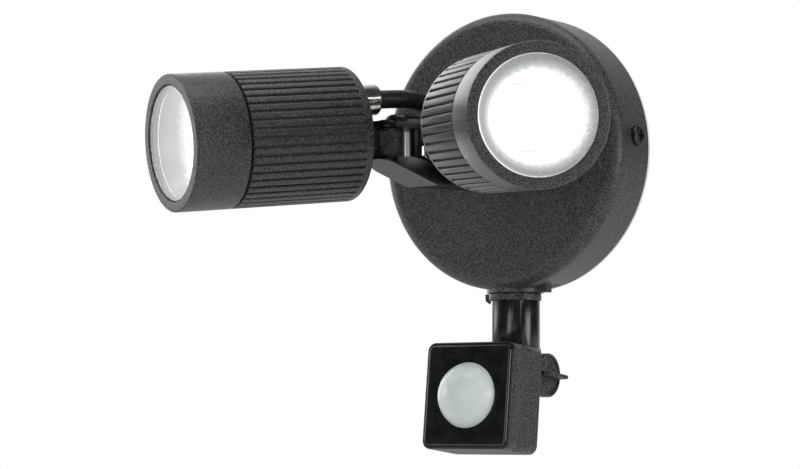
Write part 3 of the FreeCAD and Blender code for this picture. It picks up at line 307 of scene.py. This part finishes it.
# Blackened steel: dark grey metal with a soft oily shine.
blackened, tree, shader = new_finish("steel, phosphated black and oiled",
                                     Metallic=0.85, Roughness=0.42)
oil = grain(tree, shader, 0.9, 0.02)
shades(tree, shader, oil, "#2c2e2e", "#4b4e4d")
BLACK_STEEL = ["canopy_screws", "pan_pins", "left_tilt_bolt", "right_tilt_bolt",
               "left_tilt_nut", "right_tilt_nut"]
dress(blackened, *BLACK_STEEL)
ease(0.15, *BLACK_STEEL)


# ---- Supply entry, terminal block and earth ----
# Rubber grommet in the plate where the supply cable comes in, polyamide terminal strip with brass
# clamps, and a brass earth screw.

# Moulded rubber: flat black with a faint grey bloom.
moulded_rubber, tree, shader = new_finish("EPDM rubber, moulded", Roughness=0.72, IOR=1.5)
bloom = grain(tree, shader, 1.6, 0.03)
shades(tree, shader, bloom, "#191a19", "#2b2d2c")
dress(moulded_rubber, "entry_grommet", "case_seal")

# Natural polyamide: warm white that lets a little light in.
polyamide, tree, shader = new_finish("polyamide, moulded natural white", Roughness=0.4, IOR=1.53)
shader.inputs["Subsurface Weight"].default_value = 0.15
shader.inputs["Subsurface Radius"].default_value = (0.0012, 0.001, 0.0008)
cloud = grain(tree, shader, 3.0, 0.02)
shades(tree, shader, cloud, "#d9d8d0", "#eceae2")
dress(polyamide, "terminal_block")
ease(0.3, "terminal_block")

# Turned brass: yellow metal with fine tool marks.
brass, tree, shader = new_finish("brass, turned bright", Metallic=1.0, Roughness=0.28)
tool_marks = grain(tree, shader, 0.6, 0.01)
shades(tree, shader, tool_marks, "#b08d45", "#d2b36a")
dress(brass, "terminal_screws", "earth_screw")
ease(0.1, "terminal_screws", "earth_screw")


# ---- Twin-arm bracket ----
# Die-cast aluminium fork for both heads, stove-enamelled in gloss black over the cast skin.
# Three zinc-plated screws come through the canopy into its foot.

# Stoving enamel: deep black with broad highlights that waver a little, like orange peel.
enamel, tree, shader = new_finish("stoving enamel, gloss black on casting",
                                  Roughness=0.27, IOR=1.5)
shader.inputs["Specular IOR Level"].default_value = 0.5
orange_peel = grain(tree, shader, 2.5, 0.03)
shades(tree, shader, orange_peel, "#0c0d0d", "#161818")
dress(enamel, "arm_bracket")
ease(0.5, "arm_bracket")

# Zinc plate: cool bright metal, slightly cloudy.
plated, tree, shader = new_finish("steel, bright zinc plate", Metallic=1.0, Roughness=0.32)
spangle = grain(tree, shader, 0.8, 0.015)
shades(tree, shader, spangle, "#a9adb0", "#cfd2d3")
PLATED_STEEL = ["bracket_screws", "case_screws", "clamp_screw", "clamp_nut"]
dress(plated, *PLATED_STEEL)
ease(0.15, *PLATED_STEEL)

# Filler closes the bore under each pan pin, flush with the arm's canted underside, before the
# enamel. The arms spread from the fork's root, and their underside tips both ways, in degrees.
FORK_ROOT = 32
ARM_RUN = math.hypot(PIN_X, PIN_OUT - FORK_ROOT)
ARM_SPREAD = math.atan2(PIN_X, PIN_OUT - FORK_ROOT)
UNDERSIDE_CANT, UNDERSIDE_SLOPE = 8.8, -21.3
UNDERSIDE_Z = -12
PLUG_TOP, PLUG_CORE_R, PLUG_R = -9.6, 2.0, 4.04

for name, side in (("left", -1), ("right", 1)):
    slope = (Matrix.Rotation(math.radians(side * UNDERSIDE_CANT), 3, "Y")
             @ Matrix.Rotation(math.radians(UNDERSIDE_SLOPE), 3, "X"))
    normal = slope @ Vector((0, 0, 1))
    rings = []
    for r, at_top in ((PLUG_CORE_R, True), (PLUG_R, True), (PLUG_R, False), (PLUG_CORE_R, False)):
        spots = [(r * math.cos(t), r * math.sin(t)) for t in turns(48)]
        rings.append([
            (x, y - ARM_RUN,
             PLUG_TOP if at_top else UNDERSIDE_Z - (normal.x * x + normal.y * y) / normal.z)
            for x, y in spots])
    plug = skin(f"{name}_pin_plug", rings, enamel)
    plug.matrix_world = (Matrix.Translation((0, -FORK_ROOT * MM, 0))
                         @ Matrix.Rotation(side * ARM_SPREAD, 4, "Z"))
    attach(plug, "base")

# Nickel plate: warm, nearly mirror-bright metal.
nickel, tree, shader = new_finish("brass, bright nickel plate", Metallic=1.0, Roughness=0.2)
polish = grain(tree, shader, 0.7, 0.01)
shades(tree, shader, polish, "#b9b7b0", "#dedcd6")
NICKELLED = ["web_bolts", "pyro_sensor", "left_head_gland", "right_head_gland"]
dress(nickel, *NICKELLED)
ease(0.25, *NICKELLED)

dress(nylon, "base_glands", "stem_nut")
ease(0.3, "base_glands", "stem_nut")


# ---- Knuckles ----
# Cast eye and tongue that turn on the pan pin and carry the head's tilt bolt.
# Powder coated as the canopy is.

dress(powder, "left_knuckle", "right_knuckle")
ease(0.4, "left_knuckle", "right_knuckle")


# ---- Head bodies ----
# Turned aluminium cup with 48 milled grooves between its rear band and the seam, two ears for the
# tilt bolt, and a spigot that the front cap is pushed on.

HEAD_R = 32.75
GROOVES = 48
GROOVE_DEPTH = 1.3
# Distance from a groove's middle, and how deep the groove is there: a flat floor and an eased
# shoulder.
GROOVE_SHAPE = [(0.0, 1.0), (0.34, 1.0), (0.46, 0.94), (0.54, 0.66), (0.63, 0.34), (0.78, 0.12),
                (1.0, 0.03), (1.3, 0.0), (1.7, 0.0)]

# The body's sections from its rear face over the outside to the spigot and back inside: radius,
# distance from the rear face, and share of the groove's depth.
REAR_EDGE = 1.5
BODY_SECTIONS = [(5, 0, 0), (HEAD_R - REAR_EDGE, 0, 0)]
for degrees in (15, 30, 45, 60, 75):
    a = math.radians(degrees)
    BODY_SECTIONS.append((HEAD_R - REAR_EDGE + REAR_EDGE * math.sin(a),
                          -REAR_EDGE + REAR_EDGE * math.cos(a), 0))
BODY_SECTIONS += [
    (HEAD_R, -REAR_EDGE, 0), (HEAD_R, -3.7, 0), (HEAD_R, -4.0, 0.08), (HEAD_R, -4.1, 0.9),
    (HEAD_R, -4.3, 1), (HEAD_R, -62.2, 1), (HEAD_R - 0.15, -62.6, 1), (HEAD_R - 0.5, -62.8, 0.7),
    (29.6, -62.8, 0), (29.6, -68.6, 0), (29.2, -69.0, 0), (27.8, -69.0, 0), (27.8, -5.0, 0),
    (5, -5.0, 0)]

# The ears' inner and outer faces from the middle; their front, foot and top; and the middles of
# their two rounded corners at the back.
EAR_FACES = (3.3, 8.3)
EAR_FRONT, EAR_FOOT, EAR_TOP = -2.0, -9.0, 1.0
EAR_CORNER_R, EAR_CORNER_Y = 2.5, 10.5
EAR_CORNERS_Z = (-1.5, -6.5)


def circle(radius, y, around=96):
    return [(radius * math.sin(t), y, radius * math.cos(t)) for t in turns(around)]


def grooved_circle(radius, y, depth):
    """Section of the ribbed body; depth 0 is plain and 1 is the full groove."""
    points = []
    half = math.pi / GROOVES
    for k in range(GROOVES):
        middle = 2 * math.pi * (k + 0.5) / GROOVES
        shape = [(-s, d) for s, d in reversed(GROOVE_SHAPE)] + GROOVE_SHAPE[1:]
        for offset, share in [(-half * HEAD_R, 0.0)] + shape:
            turn = middle + offset / HEAD_R
            r = radius - share * depth * GROOVE_DEPTH
            points.append((r * math.sin(turn), y, r * math.cos(turn)))
    return points


for name in HEADS:
    body = skin(f"{name}_body_shell", [grooved_circle(*section) for section in BODY_SECTIONS], powder)
    body.matrix_world = head_place(name)
    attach(body, f"{name}_head")
    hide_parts(f"{name}_head_body")
    for side in (-1, 1):
        outline = [(EAR_FRONT, EAR_FOOT), (EAR_FRONT, EAR_TOP)]
        for centre_z, start in zip(EAR_CORNERS_Z, (90, 0)):
            for k in range(7):
                a = math.radians(start - 15 * k)
                outline.append((EAR_CORNER_Y + EAR_CORNER_R * math.cos(a),
                                centre_z + EAR_CORNER_R * math.sin(a)))
        faces_x = sorted(side * face for face in EAR_FACES)
        ear = skin(f"{name}_ear_{'inner' if side < 0 else 'outer'}",
                   [[(x, y, z) for y, z in outline] for x in faces_x], powder)
        round_edges(ear, 0.6)
        ear.matrix_world = head_place(name)
        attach(ear, f"{name}_head")


# ---- Front caps ----
# Turned aluminium collar with a flat front ring round the opening.
# It is pushed on the body's spigot and coated as the body is.

HEAD_FRONT = -91.6
CAP_BACK = -64.1
OPENING_R, CAP_BORE_R = 27.6, 29.7
CAP_EDGE, LIP_EDGE = 0.8, 0.5       # roundings: the front's outer edge, and the other two
LEDGE_RIM, LEDGE_SEAT = -88.9, -88.6


def turned(name, profile, finish, ring=False, around=128):
    """Turned piece about the head's axis from (radius, y) points in millimetres."""
    return skin(name, [circle(radius, y, around) for radius, y in profile], finish, ring=ring)


def arc(middle_r, middle_y, radius, start, end, steps=5):
    """Points of a rounded edge in a turned profile, angles in degrees from outward to the front."""
    found = []
    for k in range(steps + 1):
        a = math.radians(start + (end - start) * k / steps)
        found.append((middle_r + radius * math.cos(a), middle_y - radius * math.sin(a)))
    return found


for name in HEADS:
    # Back edge, the front's outer and inner edges, then the ledge that holds the glass, and the bore.
    profile = arc(HEAD_R - LIP_EDGE, CAP_BACK - LIP_EDGE, LIP_EDGE, -90, 0)
    profile += arc(HEAD_R - CAP_EDGE, HEAD_FRONT + CAP_EDGE, CAP_EDGE, 0, 90)
    profile += arc(OPENING_R + LIP_EDGE, HEAD_FRONT + LIP_EDGE, LIP_EDGE, 90, 180)
    profile += [(OPENING_R, LEDGE_RIM), (CAP_BORE_R, LEDGE_SEAT), (CAP_BORE_R, CAP_BACK)]
    cap = turned(f"{name}_cap", profile, powder, ring=True)
    cap.matrix_world = head_place(name)
    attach(cap, f"{name}_head")
    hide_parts(f"{name}_front_cap")


# ---- Glass and its seal ----
# Pressed tempered glass: its flange is clamped behind the cap's ring on clear silicone, and its
# raised middle fills the opening to just behind the ring's face.

# Moulded silicone: pale and slightly see-through.
silicone, tree, shader = new_finish("silicone rubber, moulded translucent",
                                    Roughness=0.35, IOR=1.42)
shader.inputs["Transmission Weight"].default_value = 0.25
film = grain(tree, shader, 1.5, 0.02)
shades(tree, shader, film, "#d5d8d6", "#eceeed")

# Tempered glass: clear, with a mirror face that faint smudges, 9 mm across, soften.
glass, tree, shader = new_finish("soda-lime glass, tempered", Roughness=0.0, IOR=1.45)
shader.inputs["Transmission Weight"].default_value = 1.0
smudge = add(tree, "TexNoise", {
    "Vector": add(tree, "TexCoord").outputs["Object"], "Scale": 1 / (9 * MM)})
veil = add(tree, "MapRange", {
    "Value": smudge.outputs["Fac"], "From Min": 0.5, "From Max": 0.8, "To Max": 0.06})
tree.links.new(veil.outputs["Result"], shader.inputs["Roughness"])
shader.inputs["Base Color"].default_value = linear("#fcfdfd")

# The seal's inner lip shows as a pale line round the glass.
SEAL_PROFILE = [(26.8, -87.85), (26.8, -88.55), (29.6, -88.6), (29.6, -87.8)]
# The pane from its back, round its flange, to its raised face.
PANE_PROFILE = [
    (28.0, -84.8), (29.2, -84.8), (29.6, -85.2), (29.6, -87.4), (29.2, -87.8),
    (27.3, -87.8), (27.3, -90.5), (27.1, -90.85), (26.7, -91.0), (26.0, -91.0)]

for name in HEADS:
    seal = turned(f"{name}_seal", SEAL_PROFILE, silicone, ring=True)
    pane = turned(f"{name}_pane", PANE_PROFILE, glass)
    for piece, node, slot in ((seal, "glass_seal", "silicone"), (pane, "front_glass", "glass")):
        piece.matrix_world = head_place(name)
        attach(piece, f"{name}_head")
        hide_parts(f"{name}_{node}")


# ---- Reflectors ----
# Pressed aluminium cone round the lamp, painted satin white.
# Its glow is painted light: emission on the cone stands in for the lit lamp's light, brightest at its
# throat.

# How strongly each cone's painted glow shines in place of its lamp's light, as the photograph shows
# it.
PAINTED_CONE_GLOW = {"left": 1.75, "right": 0.95}
# The painted patch of lamp light is centred to one side, and fades out between these radii.
PATCH_ASIDE = 3.5
PATCH_INNER, PATCH_OUTER = 16, 32
# Painted dapples of this size break the patch's rim by this much, where the lens's pebbles throw its
# edge.
DAPPLE, RAGGED = 1.6, 2.4
PAINTED_GLOW_STOPS = [(0.0, "#ffffff"), (0.38, "#ffffff"), (0.5, "#bdbebe"), (0.64, "#8b8c8c"),
               (1.0, "#707171")]
satin_white_painted_glow = {}

# Satin white paint with painted light: emission makes the cone glow white at its throat and fall off
# to grey at its rim.
for name, strength in PAINTED_CONE_GLOW.items():
    satin_white_painted_glow[name], tree, shader = new_finish(
        f"satin white paint on aluminium, {name} lamp", Roughness=0.34, IOR=1.5)
    place = add(tree, "TexCoord").outputs["Object"]
    aside = add(tree, "VectorMath", {0: place, 1: (PATCH_ASIDE * MM, 0, 0)}, operation="SUBTRACT")
    spread = add(tree, "VectorMath", {0: aside.outputs[0], 1: (1, 0, 1)}, operation="MULTIPLY")
    radius = add(tree, "VectorMath", {0: spread.outputs[0]}, operation="LENGTH")
    dapple = add(tree, "TexNoise", {"Vector": place, "Scale": 1 / (DAPPLE * MM), "Detail": 1.0})
    ragged = add(tree, "Math", {
        0: dapple.outputs["Fac"], 1: RAGGED * MM, 2: radius.outputs["Value"]},
        operation="MULTIPLY_ADD")
    faded = add(tree, "MapRange", {
        "Value": ragged.outputs[0], "From Min": PATCH_INNER * MM, "From Max": PATCH_OUTER * MM})
    glow = add(tree, "ValToRGB", {"Fac": faded.outputs["Result"]})
    for position, colour in PAINTED_GLOW_STOPS[1:-1]:
        glow.color_ramp.elements.new(position)
    for stop, (position, colour) in zip(glow.color_ramp.elements, PAINTED_GLOW_STOPS):
        stop.position = position
        stop.color = linear(colour)
    # Painted light: the ramp drives the cone's emission in place of the lamp's light.
    tree.links.new(glow.outputs["Color"], shader.inputs["Emission Color"])
    shader.inputs["Emission Strength"].default_value = strength
    # Darker than the paint is, as the lit lamp sets the exposure.
    shader.inputs["Base Color"].default_value = linear("#5e6060")

# The rim's flange, down the outside to the throat, and back up the inside.
CONE_PROFILE = [
    (28.2, -84.8), (29.1, -84.7), (29.1, -83.3), (28.2, -83.3), (24.4, -77.0),
    (16.6, -66.9), (15.5, -66.8), (15.6, -67.2), (23.4, -77.4), (27.7, -84.4)]

for name in HEADS:
    cone = turned(f"{name}_cone", CONE_PROFILE, satin_white_painted_glow[name], ring=True)
    cone.matrix_world = head_place(name)
    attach(cone, f"{name}_head")
    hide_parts(f"{name}_reflector")


# ---- LED lamps ----
# Round LED lamp that plugs into a ceramic holder: moulded acrylic lens with a pebbled face, white
# heat-conducting plastic body, two pins.

# Moulded acrylic: a bright lit face broken into round pebbles.
# The real pebbles are about 0.6 mm; they are drawn at 1.1 mm so that they show.
pebbled, tree, shader = new_finish("acrylic, moulded pebbled lens", Roughness=0.12, IOR=1.49)
cells = add(tree, "TexVoronoi", {
    "Vector": add(tree, "TexCoord").outputs["Object"], "Scale": 1 / (1.1 * MM)},
    feature="SMOOTH_F1")
pebble = add(tree, "Bump", {
    "Height": cells.outputs["Distance"], "Distance": 0.3 * MM, "Strength": 1.0}, invert=True)
tree.links.new(pebble.outputs["Normal"], shader.inputs["Normal"])
spots = add(tree, "ValToRGB", {"Fac": cells.outputs["Distance"]})
for stop, position, colour in zip(spots.color_ramp.elements, (0.2, 0.6), ("#ffffff", "#e2e4e4")):
    stop.position = position
    stop.color = linear(colour)
tree.links.new(spots.outputs["Color"], shader.inputs["Emission Color"])
shader.inputs["Emission Strength"].default_value = 1.0
shader.inputs["Base Color"].default_value = linear("#a9adac")

LENS_R, LENS_RISE = 15.2, 2.4
LENS_BACK, LENS_EDGE = -64.8, -68.8


def ball_radius(edge_r, rise):
    """Radius of the ball whose cap has that edge and rise."""
    return (edge_r ** 2 + rise ** 2) / (2 * rise)


def dome_y(r, edge_y, rise, ball):
    """How far forward a dome on that edge stands at a radius."""
    return edge_y - rise + ball - math.sqrt(ball ** 2 - r ** 2)


for name in HEADS:
    ball = ball_radius(LENS_R, LENS_RISE)
    face = [(LENS_R, LENS_BACK), (LENS_R, LENS_EDGE)]
    for k in range(1, 12):
        r = LENS_R * (1 - k / 12)
        face.append((r, dome_y(r, LENS_EDGE, LENS_RISE, ball)))
    lens = turned(f"{name}_lens", face, pebbled)
    lens.matrix_world = head_place(name)
    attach(lens, f"{name}_head")
    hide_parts(f"{name}_optic")

# Filled polyamide: plain matt white with faint flow lines.
heat_plastic, tree, shader = new_finish("heat-conducting polyamide, moulded white",
                                        Roughness=0.5, IOR=1.53)
weld_lines = grain(tree, shader, 2.0, 0.03)
shades(tree, shader, weld_lines, "#c6c8c6", "#dcdedb")
dress(heat_plastic, "left_lamp_body", "right_lamp_body")
ease(0.3, "left_lamp_body", "right_lamp_body")

# Unglazed steatite: chalky cream with a fine tooth.
steatite, tree, shader = new_finish("steatite ceramic, unglazed", Roughness=0.65, IOR=1.6)
body_grain = grain(tree, shader, 0.8, 0.04)
shades(tree, shader, body_grain, "#d3cdbf", "#e6e1d4")
dress(steatite, "left_lamp_holder", "right_lamp_holder")
ease(0.3, "left_lamp_holder", "right_lamp_holder")


# ---- Sensor stem and its stop ring ----
# Hollow ABS stem moulded with a polished skin.
# A ring with one tab sits on it under the canopy's boss.

# Polished ABS: nearly black with sharp reflections that sink marks bend a little.
gloss_abs, tree, shader = new_finish("ABS, moulded gloss black", Roughness=0.2, IOR=1.54)
shader.inputs["Specular IOR Level"].default_value = 0.42
sink = grain(tree, shader, 6.0, 0.05)
shades(tree, shader, sink, "#101211", "#1c1e1d")
dress(gloss_abs, "sensor_stem")
ease(0.4, "sensor_stem")

# Spark-eroded ABS: dull black with a coarse sparkle. The real texture is about 0.2 mm; it is drawn
# at 0.8 mm so that it shows.
spark_abs, tree, shader = new_finish("ABS, spark-eroded texture black", Roughness=0.5, IOR=1.54)
shader.inputs["Specular IOR Level"].default_value = 0.38
erosion = grain(tree, shader, 0.8, 0.16, detail=3.0)
shades(tree, shader, erosion, "#070908", "#5a5e5c", 0.42, 0.64)
dress(spark_abs, "stop_collar")
ease(0.3, "stop_collar")


# ---- Sensor case ----
# Two ABS halves on a rubber seal: a textured rear tray with hinge ears, and a front with textured
# sides. The front's edge is polished, and so is its panel, which stands a millimetre proud of it.

# The sensor's hinge, and how far the case nods in the photograph, in degrees.
HINGE = (0, -15.5 * MM, -112.6 * MM)
SENSOR_NOD = -6.5
sensor_place = Matrix.Translation(HINGE) @ Matrix.Rotation(math.radians(SENSOR_NOD), 4, "X")
CASE_MIDDLE = -15.2
CASE_HALF_W, CASE_HALF_H, CASE_CORNER = 25.5, 26.5, 4.5
PANEL_FACE = -43.5


def rounded_frame(half_w, half_h, corner, y, steps=8):
    """Rounded rectangle across Y about the middle of the case."""
    points = []
    for turn, sx, sz in ((0, 1, 1), (90, -1, 1), (180, -1, -1), (270, 1, -1)):
        for k in range(steps + 1):
            a = math.radians(turn + 90 * k / steps)
            points.append((sx * (half_w - corner) + corner * math.cos(a), y,
                           CASE_MIDDLE + sz * (half_h - corner) + corner * math.sin(a)))
    return points


def case_loops(sections):
    """Sections are (inset from the case's outside, y)."""
    return [rounded_frame(CASE_HALF_W - inset, CASE_HALF_H - inset,
                          max(CASE_CORNER - inset, 0.5), y) for inset, y in sections]


# The frame laps back over the seal's edge.
front_frame = skin("sensor_front_frame", case_loops([
    (2.0, -35.5), (0.4, -34.9), (0.03, -34.1), (0, -34.2), (0, -41.4), (2.2, -41.4)]),
    spark_abs, ring=True)
# The front's rounded edge, its flat border, and the step up to the panel's rounded edge and face.
panel = skin("sensor_front_panel", case_loops([
    (0.4, -41.45), (0.0, -41.45), (0.04, -41.8), (0.16, -42.1), (0.38, -42.35), (0.7, -42.5),
    (1.5, -42.5), (1.6, -42.6), (1.7, -42.95), (1.95, -43.25), (2.3, -43.43),
    (2.7, PANEL_FACE), (8.0, PANEL_FACE), (12.0, PANEL_FACE)]), gloss_abs)
for piece in (front_frame, panel):
    piece.matrix_world = sensor_place
    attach(piece, "sensor_head")
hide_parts("sensor_front")
dress(spark_abs, "sensor_rear")
ease(0.2, "sensor_rear")


# ---- Lens dome ----
# Thin dome of milky polyethylene, held by a flange behind the panel.
# It is moulded with small Fresnel lenses on its inside.

# Milky polyethylene: cool soft white that light enters, with the lenses as faint 7.5 mm facets.
milky, tree, shader = new_finish("polyethylene, moulded milky", Roughness=0.3, IOR=1.51)
shader.inputs["Subsurface Weight"].default_value = 0.35
shader.inputs["Subsurface Radius"].default_value = (0.0015, 0.0016, 0.0015)
facets = add(tree, "TexVoronoi", {
    "Vector": add(tree, "TexCoord").outputs["Object"], "Scale": 1 / (7.5 * MM)},
    feature="DISTANCE_TO_EDGE")
edges = add(tree, "MapRange", {"Value": facets.outputs["Distance"], "From Max": 0.16})
crease = add(tree, "Bump", {
    "Height": edges.outputs["Result"], "Distance": 0.1 * MM, "Strength": 0.3})
tree.links.new(crease.outputs["Normal"], shader.inputs["Normal"])
shades(tree, shader, edges.outputs["Result"], "#d0d9d5", "#d5deda", 0.0, 1.0)

DOME_R, DOME_RISE = 16.2, 12.0
DOME_BACK = -42.4
ball = ball_radius(DOME_R, DOME_RISE)
profile = [(DOME_R, DOME_BACK), (DOME_R, PANEL_FACE)]
for k in range(1, 25):
    r = DOME_R * math.cos(math.radians(90 * k / 25))
    profile.append((r, dome_y(r, PANEL_FACE, DOME_RISE, ball)))
dome = turned("sensor_dome", profile, milky)
dome.data.transform(Matrix.Translation((0, 0, CASE_MIDDLE * MM)))
dome.matrix_world = sensor_place
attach(dome, "sensor_head")
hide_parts("dome_lens")


# ---- Sensor works ----
# Glass-epoxy board with relay and trimmers behind the dome.
# The infrared sensor stands on it in a nickel can.

# Solder mask: green, with the copper tracks showing paler through it.
board_mask, tree, shader = new_finish("glass epoxy, green solder mask", Roughness=0.35, IOR=1.55)
tracks = add(tree, "TexBrick", {
    "Vector": add(tree, "TexCoord").outputs["Object"], "Scale": 1 / (4 * MM)})
tracks.inputs["Color1"].default_value = linear("#1f5a38")
tracks.inputs["Color2"].default_value = linear("#1a4d30")
tracks.inputs["Mortar"].default_value = linear("#2f7a4c")
tree.links.new(tracks.outputs["Color"], shader.inputs["Base Color"])
dress(board_mask, "circuit_board")


# ---- Thumb knob ----
# Knob of the same textured ABS, moulded on its clamp screw's head, with a raised rim and one
# straight wing for the fingers. It clamps the sensor's tilt.

# Distance along the hinge and radius, from the inner face over the rim to the sunk outer face.
KNOB_PROFILE = [
    (15.6, 3.0), (15.6, 10.3), (15.75, 10.75), (16.1, 11.0), (19.4, 11.0), (19.85, 10.8),
    (20.1, 10.4), (20.1, 9.9), (19.95, 9.6), (19.2, 9.3), (18.9, 8.9), (18.8, 8.2), (18.8, 4.0)]
# Distance along the hinge, half the width and half the thickness of the wing.
WING_SECTIONS = [(18.0, 9.4, 1.1), (24.0, 9.4, 1.0), (26.0, 8.6, 0.9)]
WING_CORNERS = [(-1, -1), (1, -1), (1, 1), (-1, 1)]

knob = skin("thumb_knob_disc", [
    [(x, r * math.cos(t), r * math.sin(t)) for t in turns(96)] for x, r in KNOB_PROFILE], spark_abs)
wing = skin("thumb_knob_wing", [
    [(x, half_w * sy, half_t * sz) for sy, sz in WING_CORNERS]
    for x, half_w, half_t in WING_SECTIONS], spark_abs)
round_edges(wing, 0.4)
for piece in (knob, wing):
    piece.matrix_world = sensor_place
    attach(piece, "thumb_knob")
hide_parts("thumb_knob")


# ---- Setting dials ----
# Three small acetal dials on the back of the sensor, each with a pointer slot.
# Their stems reach the trimmers on the board.

# Moulded acetal: smooth clean white with a soft shine.
acetal, tree, shader = new_finish("acetal, moulded white", Roughness=0.3, IOR=1.48)
swirl = grain(tree, shader, 1.5, 0.02)
shades(tree, shader, swirl, "#dfe0dd", "#f0f0ed")
dress(acetal, "sens_dial", "time_dial", "lux_dial")
ease(0.25, "sens_dial", "time_dial", "lux_dial")


# ---- Room ----
# White surround, dimmer in reflections from the front and right, a pale floor well below the light,
# and soft boxes round it.

OPEN_SIDE = (-0.8, 0.6, 0.0)        # the way from which reflections are fully white
world = bpy.data.worlds.new("surround")
bpy.context.scene.world = world
world.use_nodes = True
tree = world.node_tree
rays = add(tree, "LightPath")
toward = add(tree, "VectorMath", {
    0: add(tree, "TexCoord").outputs["Generated"], 1: OPEN_SIDE}, operation="DOT_PRODUCT")
behind = add(tree, "MapRange", {
    "Value": toward.outputs["Value"], "From Min": 0.15, "From Max": 0.65, "To Min": 0.05})
mirrored = add(tree, "Math", {
    0: rays.outputs["Is Glossy Ray"], 1: behind.outputs["Result"]}, operation="MULTIPLY")
plain = add(tree, "Math", {
    0: rays.outputs["Is Camera Ray"], 1: rays.outputs["Is Transmission Ray"]},
    operation="MAXIMUM")
shown = add(tree, "Math", {0: plain.outputs[0], 1: mirrored.outputs[0]}, operation="MAXIMUM")
on_paint = add(tree, "Math", {0: rays.outputs["Is Diffuse Ray"], 1: 0.5}, operation="MULTIPLY")
level = add(tree, "Math", {0: shown.outputs[0], 1: on_paint.outputs[0]}, operation="MAXIMUM")
tree.links.new(level.outputs[0], tree.nodes["Background"].inputs["Strength"])
tree.nodes["Background"].inputs["Color"].default_value = (1, 1, 1, 1)

# Matt floor paint: an even pale ground that takes the shadow.
floor_paint, tree, shader = new_finish("floor paint, matt pale grey", Roughness=0.9)
roll = grain(tree, shader, 3.0, 0.02)
shades(tree, shader, roll, "#e9e9e8", "#eeeeed")
rays = add(tree, "LightPath")
seen = add(tree, "Math", {
    0: rays.outputs["Is Camera Ray"], 1: rays.outputs["Is Glossy Ray"]}, operation="MAXIMUM")
seen = add(tree, "Math", {
    0: seen.outputs[0], 1: rays.outputs["Is Transmission Ray"]}, operation="MAXIMUM")
share = add(tree, "Math", {0: seen.outputs[0], 1: 0.6}, operation="MULTIPLY")
white = add(tree, "Emission", {"Color": (1, 1, 1, 1), "Strength": 1.0})
mixed = add(tree, "MixShader", {0: share.outputs[0], 1: shader.outputs[0], 2: white.outputs[0]})
tree.links.new(mixed.outputs[0], tree.nodes["Material Output"].inputs["Surface"])
bpy.ops.mesh.primitive_plane_add(size=40, location=(0, 0, -1.3))
floor = bpy.context.object
floor.name = "floor"
floor.data.materials.append(floor_paint)

# Each soft box: where it stands, its width and height in metres, and its power in watts.
# All of them face one point near the middle of the light.
SOFT_BOXES = [
    ("key", (-0.9, -0.8, 1.5), 0.9, 0.9, 10),
    ("left behind", (-1.35, 0.85, 0.4), 0.8, 1.2, 8.5),
    ("left edge", (-1.47, -0.42, 0.1), 0.4, 0.5, 2.5),
    ("front", (0.15, -1.6, 0.03), 0.5, 0.7, 4),
    ("front right", (1.3, -0.8, 1.0), 0.4, 0.6, 2.5),
    ("right side", (1.6, -0.02, 0.05), 0.5, 0.7, 5.5),
    ("edge strip", (1.6, 0.3, 0.05), 0.08, 0.6, 2),
    ("top", (0.1, -0.3, 1.6), 1.0, 1.0, 10),
]
LIT_POINT = Vector((0, -0.06, -0.03))

for name, spot, width, height, power in SOFT_BOXES:
    lamp = bpy.data.lights.new(name, "AREA")
    lamp.shape = "RECTANGLE"
    lamp.size = width
    lamp.size_y = height
    lamp.energy = power
    box = bpy.data.objects.new(name, lamp)
    bpy.context.scene.collection.objects.link(box)
    box.location = spot
    box.rotation_mode = "QUATERNION"
    box.rotation_quaternion = (LIT_POINT - Vector(spot)).to_track_quat("-Z", "Y")

bpy.context.scene.view_settings.view_transform = "Standard"
